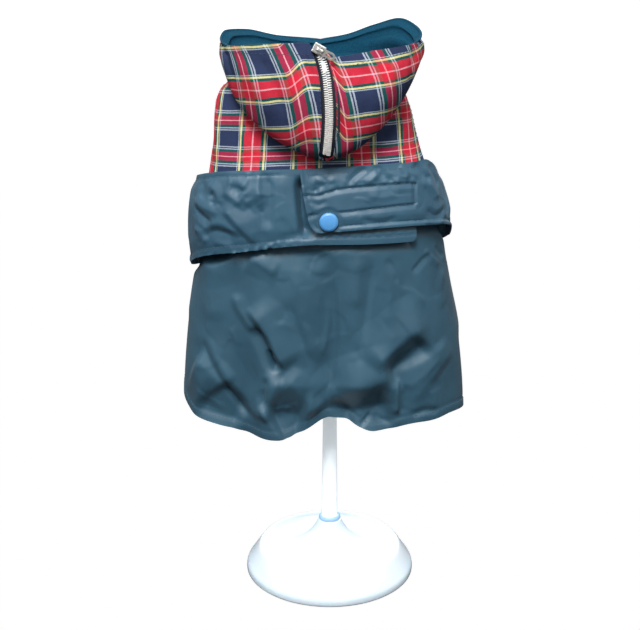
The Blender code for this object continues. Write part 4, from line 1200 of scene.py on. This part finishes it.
def hood_pieces():
    fold, wall = np.linspace(0.36, 0.6, 44), np.linspace(0.6, 1, 44)
    rows = np.concatenate([np.linspace(0, 0.36, 26), fold[1:], wall[1:]])
    for side, word in ((-1, "left"), (1, "right")):
        right = side > 0
        angle, share = hood_grid(rows, 150, HOOD_BESIDE_ZIP, THROAT_GAP_DEG, right)
        share = share * (1.0 - ROLL_SHARE * fleece_roll(angle))
        cloth = Cloth(seated_hood, angle, share)
        cloth.place = hood_place(cloth, angle)
        relief = creases(cloth.place, HOOD_RIGHT_CREASES if right else HOOD_LEFT_CREASES)
        relief += small_wrinkles(cloth.place, 50 + side, 14, (-120, 345, 120, 415), 18, 2.6, 0.4)
        relief *= smooth_step(0.40, 0.56, share) * (1 - 0.6 * smooth_step(0.9, 1.0, share))
        relief -= 0.7 * smooth_step(177.0, 179.8, np.abs(angle)) * (not right)
        obj = cloth.make(f"hood_{word}_cloth", relief, SHELL, uv=hood_check(cloth, right))
        finish_cloth(obj, TARTAN, f"hood_{word}")
        lines = [cloth.line(np.full(400, 0.955), np.linspace(0.02, 0.98, 400))]
        beside = np.full(200, 0.006 if right else 0.994)
        lines.append(cloth.line(np.linspace(0.56, 0.97, 200), beside))
        on_body(stitch_row(f"hood_{word}_stitches", lines, DARK_THREAD))

        lining_rows = np.linspace(0.012, 1, 80)
        angle, share = hood_grid(lining_rows, 130, LINING_BESIDE_ZIP, LINING_THROAT_GAP_DEG, right)
        cloth = Cloth(hood_surface, angle, share)
        cloth.place = hood_place(cloth, angle)
        relief = small_wrinkles(cloth.place, 70 + side, 18, (-120, 345, 120, 420), 22, 3.6, 0.35)
        relief *= smooth_step(0.3, 0.6, share)
        relief -= 0.8 * smooth_step(177.0, 179.8, np.abs(angle)) * (not right)
        roll = fleece_roll(angle)
        relief += (LINING_DEPTH + FLEECE_SHELL) * smooth_step(ROLL_CREASE_SHARE, 0.99, share) * roll
        relief -= 1.3 * bell(share - ROLL_CREASE_SHARE, 0.03) * roll
        slack = bell(np.abs(angle) - 124.0, 24.0) * bell(share - 0.72, 0.12)
        relief -= 6.0 * slack
        obj = cloth.make(f"hood_lining_{word}_pile", relief, FLEECE_SHELL, depth=LINING_DEPTH)
        finish_cloth(
            obj, FLEECE, f"hood_lining_{word}"
        )


def hood_place(cloth, angle):
    """Millimetres round the hood from the zip, and the height."""
    u = row_runs(cloth.base)
    start = hood_half_width(cloth.share[:, :1]) * np.radians(np.abs(angle).min(axis=1, keepdims=True))
    u = u + start if angle.max() > 0 else u - u[:, -1:] - start
    return np.stack([u, cloth.base[..., 2]], axis=-1)


# ---------------------------------------------------------------- zip

# One tooth's outline: how far along the zip, and how far out from its tip towards the tape.
TOOTH = ((-0.36, 0.0), (0.36, 0.0), (0.42, 1.7), (0.30, 2.85), (-0.30, 2.85), (-0.42, 1.7))
TOOTH_PITCH = 1.55
# The tape starts this share above the zip's foot and ends at the next. Its inner edge is this far from the
# middle line, and its outer one this far past the chain.
TAPE_START, TAPE_TOP_SHARE, TAPE_INNER, TAPE_UNDER_PANEL = 0.045, 0.985, 1.5, 4.6


def zip_frame(share):
    """A point of the zip's middle line, with its across, ahead and outward directions."""
    at, below, above, left, right = (
        hood_point(np.array(turn), np.array(share + step))
        for turn, step in ((0.0, 0.0), (0.0, -0.004), (0.0, 0.004), (-0.5, 0.0), (0.5, 0.0))
    )
    ahead, beside = above - below, right - left
    out = np.cross(beside, ahead)
    out /= np.linalg.norm(out)
    ahead /= np.linalg.norm(ahead)
    return at, np.cross(ahead, out), ahead, out


def zip_teeth(first, last):
    """Interlocked metal teeth in two staggered rows."""
    verts, faces = [], []
    shares = np.linspace(first, last, 400)
    middle = np.array([hood_point(np.array(0.0), np.array(s)) for s in shares])
    run = run_along(middle)
    for k in range(2 * int(run[-1] / TOOTH_PITCH)):
        side = -1 if k % 2 else 1
        at, across, ahead, out = zip_frame(np.interp((k + 0.5) * TOOTH_PITCH / 2, run, shares))
        faces += tube_faces(len(verts), 6, 3)
        for level_out, shrink in ((0.0, 1.0), (1.25, 1.0), (1.7, 0.72)):
            for along_zip, reach in TOOTH:
                place = (reach - 1.45) * (shrink if reach > 1 else 1.0) + 1.45
                flat = across * side * (place - 0.15) + ahead * along_zip * shrink
                verts.append(at + flat + out * level_out)
    return mesh_object("zip_teeth", verts, faces, TOOTH_METAL, sharp=35)


def zip_pieces():
    half_chain = ZIP_CHAIN_WIDTH / 2
    foot = ZIP_FOOT_SHARE + TAPE_START
    for side, word in ((-1, "left"), (1, "right")):
        up, across = fine(90, 15)
        share = foot + (TAPE_TOP_SHARE - foot) * up
        first, last = sorted((side * TAPE_INNER, side * (half_chain + TAPE_UNDER_PANEL)))
        reach = np.abs(first + (last - first) * across)
        angle = np.degrees((first + (last - first) * across) / hood_half_width(share))
        cloth = Cloth(hood_point, angle, share)
        ribs = 0.10 * np.sin(up * 2 * math.pi * 52)
        tucked = 1.05 * smooth_step(half_chain + 0.6, half_chain + 2.0, reach)
        obj = cloth.make(f"zip_tape_{word}_cloth", ribs - tucked, TAPE_SHELL, depth=TAPE_DEPTH)
        finish_cloth(
            obj, TAPE, f"zip_tape_{word}"
        )
    teeth = zip_teeth(foot + 0.004, SLIDER_SHARE - 0.022)
    on_body(teeth, "zip_chain")


# ---------------------------------------------------------------- stand

# A ring round the stem's foot, whose pale blue is painted shade where the stem goes into the base's collar:
# radius, and height above the base's top.
COLLAR = (
    (6.9, 0.05), (8.3, 0.05), (8.5, 0.7), (8.2, 2.2), (7.6, 3.1), (6.9, 3.4), (6.45, 3.0), (6.9, 0.05),
)


def stand_pieces():
    top = BASE_PROFILE[-1][1]
    socket = STEM_FOOT_RADIUS + 0.3
    wall = [tuple(point) for point in curve_through(BASE_PROFILE, 4)]
    profile = [(0, 0), (60.0, 0), (62.4, 0.25)] + wall
    profile += [(socket, top), (socket, STEM_FOOT_Z - 0.3), (0, STEM_FOOT_Z - 0.3)]
    base = lathe("stand_base_shape", profile, STAND_WHITE_GLOW)
    on_body(base, "stand_base")
    radii = np.linspace(STEM_FOOT_RADIUS, STEM_TIP_RADIUS, 24)
    taper = zip(radii, np.linspace(STEM_FOOT_Z, STEM_TIP_Z, 24))
    stem = lathe("stand_stem_shape", [(0, STEM_FOOT_Z), *taper, (0, STEM_TIP_Z)], STEM_WHITE_GLOW, 64)
    on_body(stem, "stand_stem")
    # The ring at the stem's foot paints the shade where the stem goes into the collar.
    ring = lathe("stem_foot_shade_ring", [(radius, top + height) for radius, height in COLLAR], FOOT_SHADE_BLUE, 64)
    on_body(ring)
    form_shape()


def form_shape():
    columns = 96
    angles = np.arange(columns) * 360.0 / columns
    heights = np.concatenate([np.linspace(FORM[0, 0], 352, 30), np.linspace(354, FORM[-1, 0], 26)])
    rings = [body_point(FORM, angles, np.full(columns, height)) for height in heights]
    rings = [cap_ring(rings[0], FORM_FOOT_Z, s) for s in (0.1, 0.42, 0.66, 0.84, 0.95)] + rings
    rings += [cap_ring(rings[-1], FORM_NECK_Z, s) for s in (0.97, 0.85, 0.68, 0.5)]
    faces = tube_faces(0, columns, len(rings))
    obj = mesh_object("stand_form_shape", np.concatenate(rings), faces, STAND_WHITE_GLOW)
    on_body(obj, "stand_form")


# ---------------------------------------------------------------- studio

# The studio's backdrop, a wide white bowl: radius and height of its rings.
BACKDROP = ((3000, 0), (5000, 50), (6200, 500), (7200, 1600), (7800, 3400), (8000, 6000))


def backdrop():
    """A bowl that is white by its own light.

    Its floor's face looks up and its wall's faces look out, so that the lamps add next to nothing to it.
    """
    spokes = 96
    turns = 2 * math.pi * np.arange(spokes) / spokes
    points = [
        (radius * math.cos(turn), radius * math.sin(turn), height)
        for radius, height in BACKDROP for turn in turns
    ]
    faces = [tuple(range(spokes))] + tube_faces(0, spokes, len(BACKDROP))[:-2]
    finish = Finish("backdrop_white", (0.30, 0.30, 0.30), 0.9, Specular_IOR_Level=0.0,
                    Emission_Color=(1, 1, 1, 1), Emission_Strength=1.0)
    obj = mesh_object("studio_backdrop", points, faces, finish.material)
    obj.location.z = -0.0004
    obj.visible_diffuse = False
    obj.visible_glossy = False
    obj.visible_shadow = False


# Each soft light: its place, its width and height in metres, and its power.
LIGHTS = {
    "key_light": ((-0.12, -1.0, 1.5), (0.5, 0.5), 34),
    "fill_light": ((-1.15, -0.95, 1.2), (0.7, 0.7), 6),
    "side_light": ((1.2, -0.9, 1.2), (0.7, 0.7), 3),
    "top_light": ((0.1, 0.25, 1.6), (1.0, 0.9), 8),
    "back_light": ((0.2, 1.4, 0.9), (1.2, 1.0), 9),
}
LIGHTS_AIM = (0, 0, 0.25)
# The room's brightness from straight down to straight up.
SKY = ((0.0, 0.02, 0.022), (0.45, 0.045, 0.05), (0.62, 0.44, 0.44), (1.0, 0.85, 0.85))
CAMERA_PLACE = (-7.5, -1000.0, 554.0)
CAMERA_TILT_DEG = 71
CAMERA_LENS, CAMERA_SENSOR = 79.9, 36


def softbox(name, place, size, power):
    data = bpy.data.lights.new(name, "AREA")
    data.shape = "RECTANGLE"
    data.size, data.size_y = size
    data.energy = power
    obj = bpy.data.objects.new(name, data)
    obj.location = place
    obj.rotation_euler = (Vector(LIGHTS_AIM) - Vector(place)).to_track_quat("-Z", "Y").to_euler()
    bpy.context.scene.collection.objects.link(obj)


def sky():
    """A pale room that is brighter overhead than near the floor."""
    world = bpy.data.worlds.new("studio_world")
    world.use_nodes = True
    tree = world.node_tree
    place, apart, height, shade = (
        tree.nodes.new("ShaderNode" + kind) for kind in ("TexCoord", "SeparateXYZ", "MapRange", "ValToRGB")
    )
    height.inputs["From Min"].default_value = -1.0
    for source, socket in (
        (place.outputs["Generated"], apart.inputs[0]),
        (apart.outputs[2], height.inputs["Value"]),
        (height.outputs[0], shade.inputs[0]),
        (shade.outputs[0], tree.nodes["Background"].inputs["Color"]),
    ):
        tree.links.new(source, socket)
    stops = shade.color_ramp.elements
    stops.remove(stops[1])
    for at, level_here, blue in SKY:
        stop = stops[0] if at == 0 else stops.new(at)
        stop.color = (level_here, level_here, blue, 1)
    bpy.context.scene.world = world


def studio():
    scene = bpy.context.scene
    scene.view_settings.view_transform = "Standard"
    scene.view_settings.look = "None"
    sky()
    backdrop()
    for name, light in LIGHTS.items():
        softbox(name, *light)
    camera = bpy.data.cameras.new("camera")
    camera.lens, camera.sensor_width, camera.clip_end = CAMERA_LENS, CAMERA_SENSOR, 50
    obj = bpy.data.objects.new("camera", camera)
    obj.location = Vector(CAMERA_PLACE) * MM
    obj.rotation_euler = (math.radians(CAMERA_TILT_DEG), 0, 0)
    scene.collection.objects.link(obj)
    scene.camera = obj


def packed_finishes():
    """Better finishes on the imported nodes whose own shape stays."""
    for node, finish in (("snap_cap", SNAP_BLUE), ("zip_slider", ZIP_METAL), ("zip_pull", ZIP_METAL)):
        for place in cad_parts[node].material_slots:
            place.material = finish


studio()
stand_pieces()
skirt_piece()
yoke_pieces()
belt_pieces()
hood_pieces()
zip_pieces()
packed_finishes()
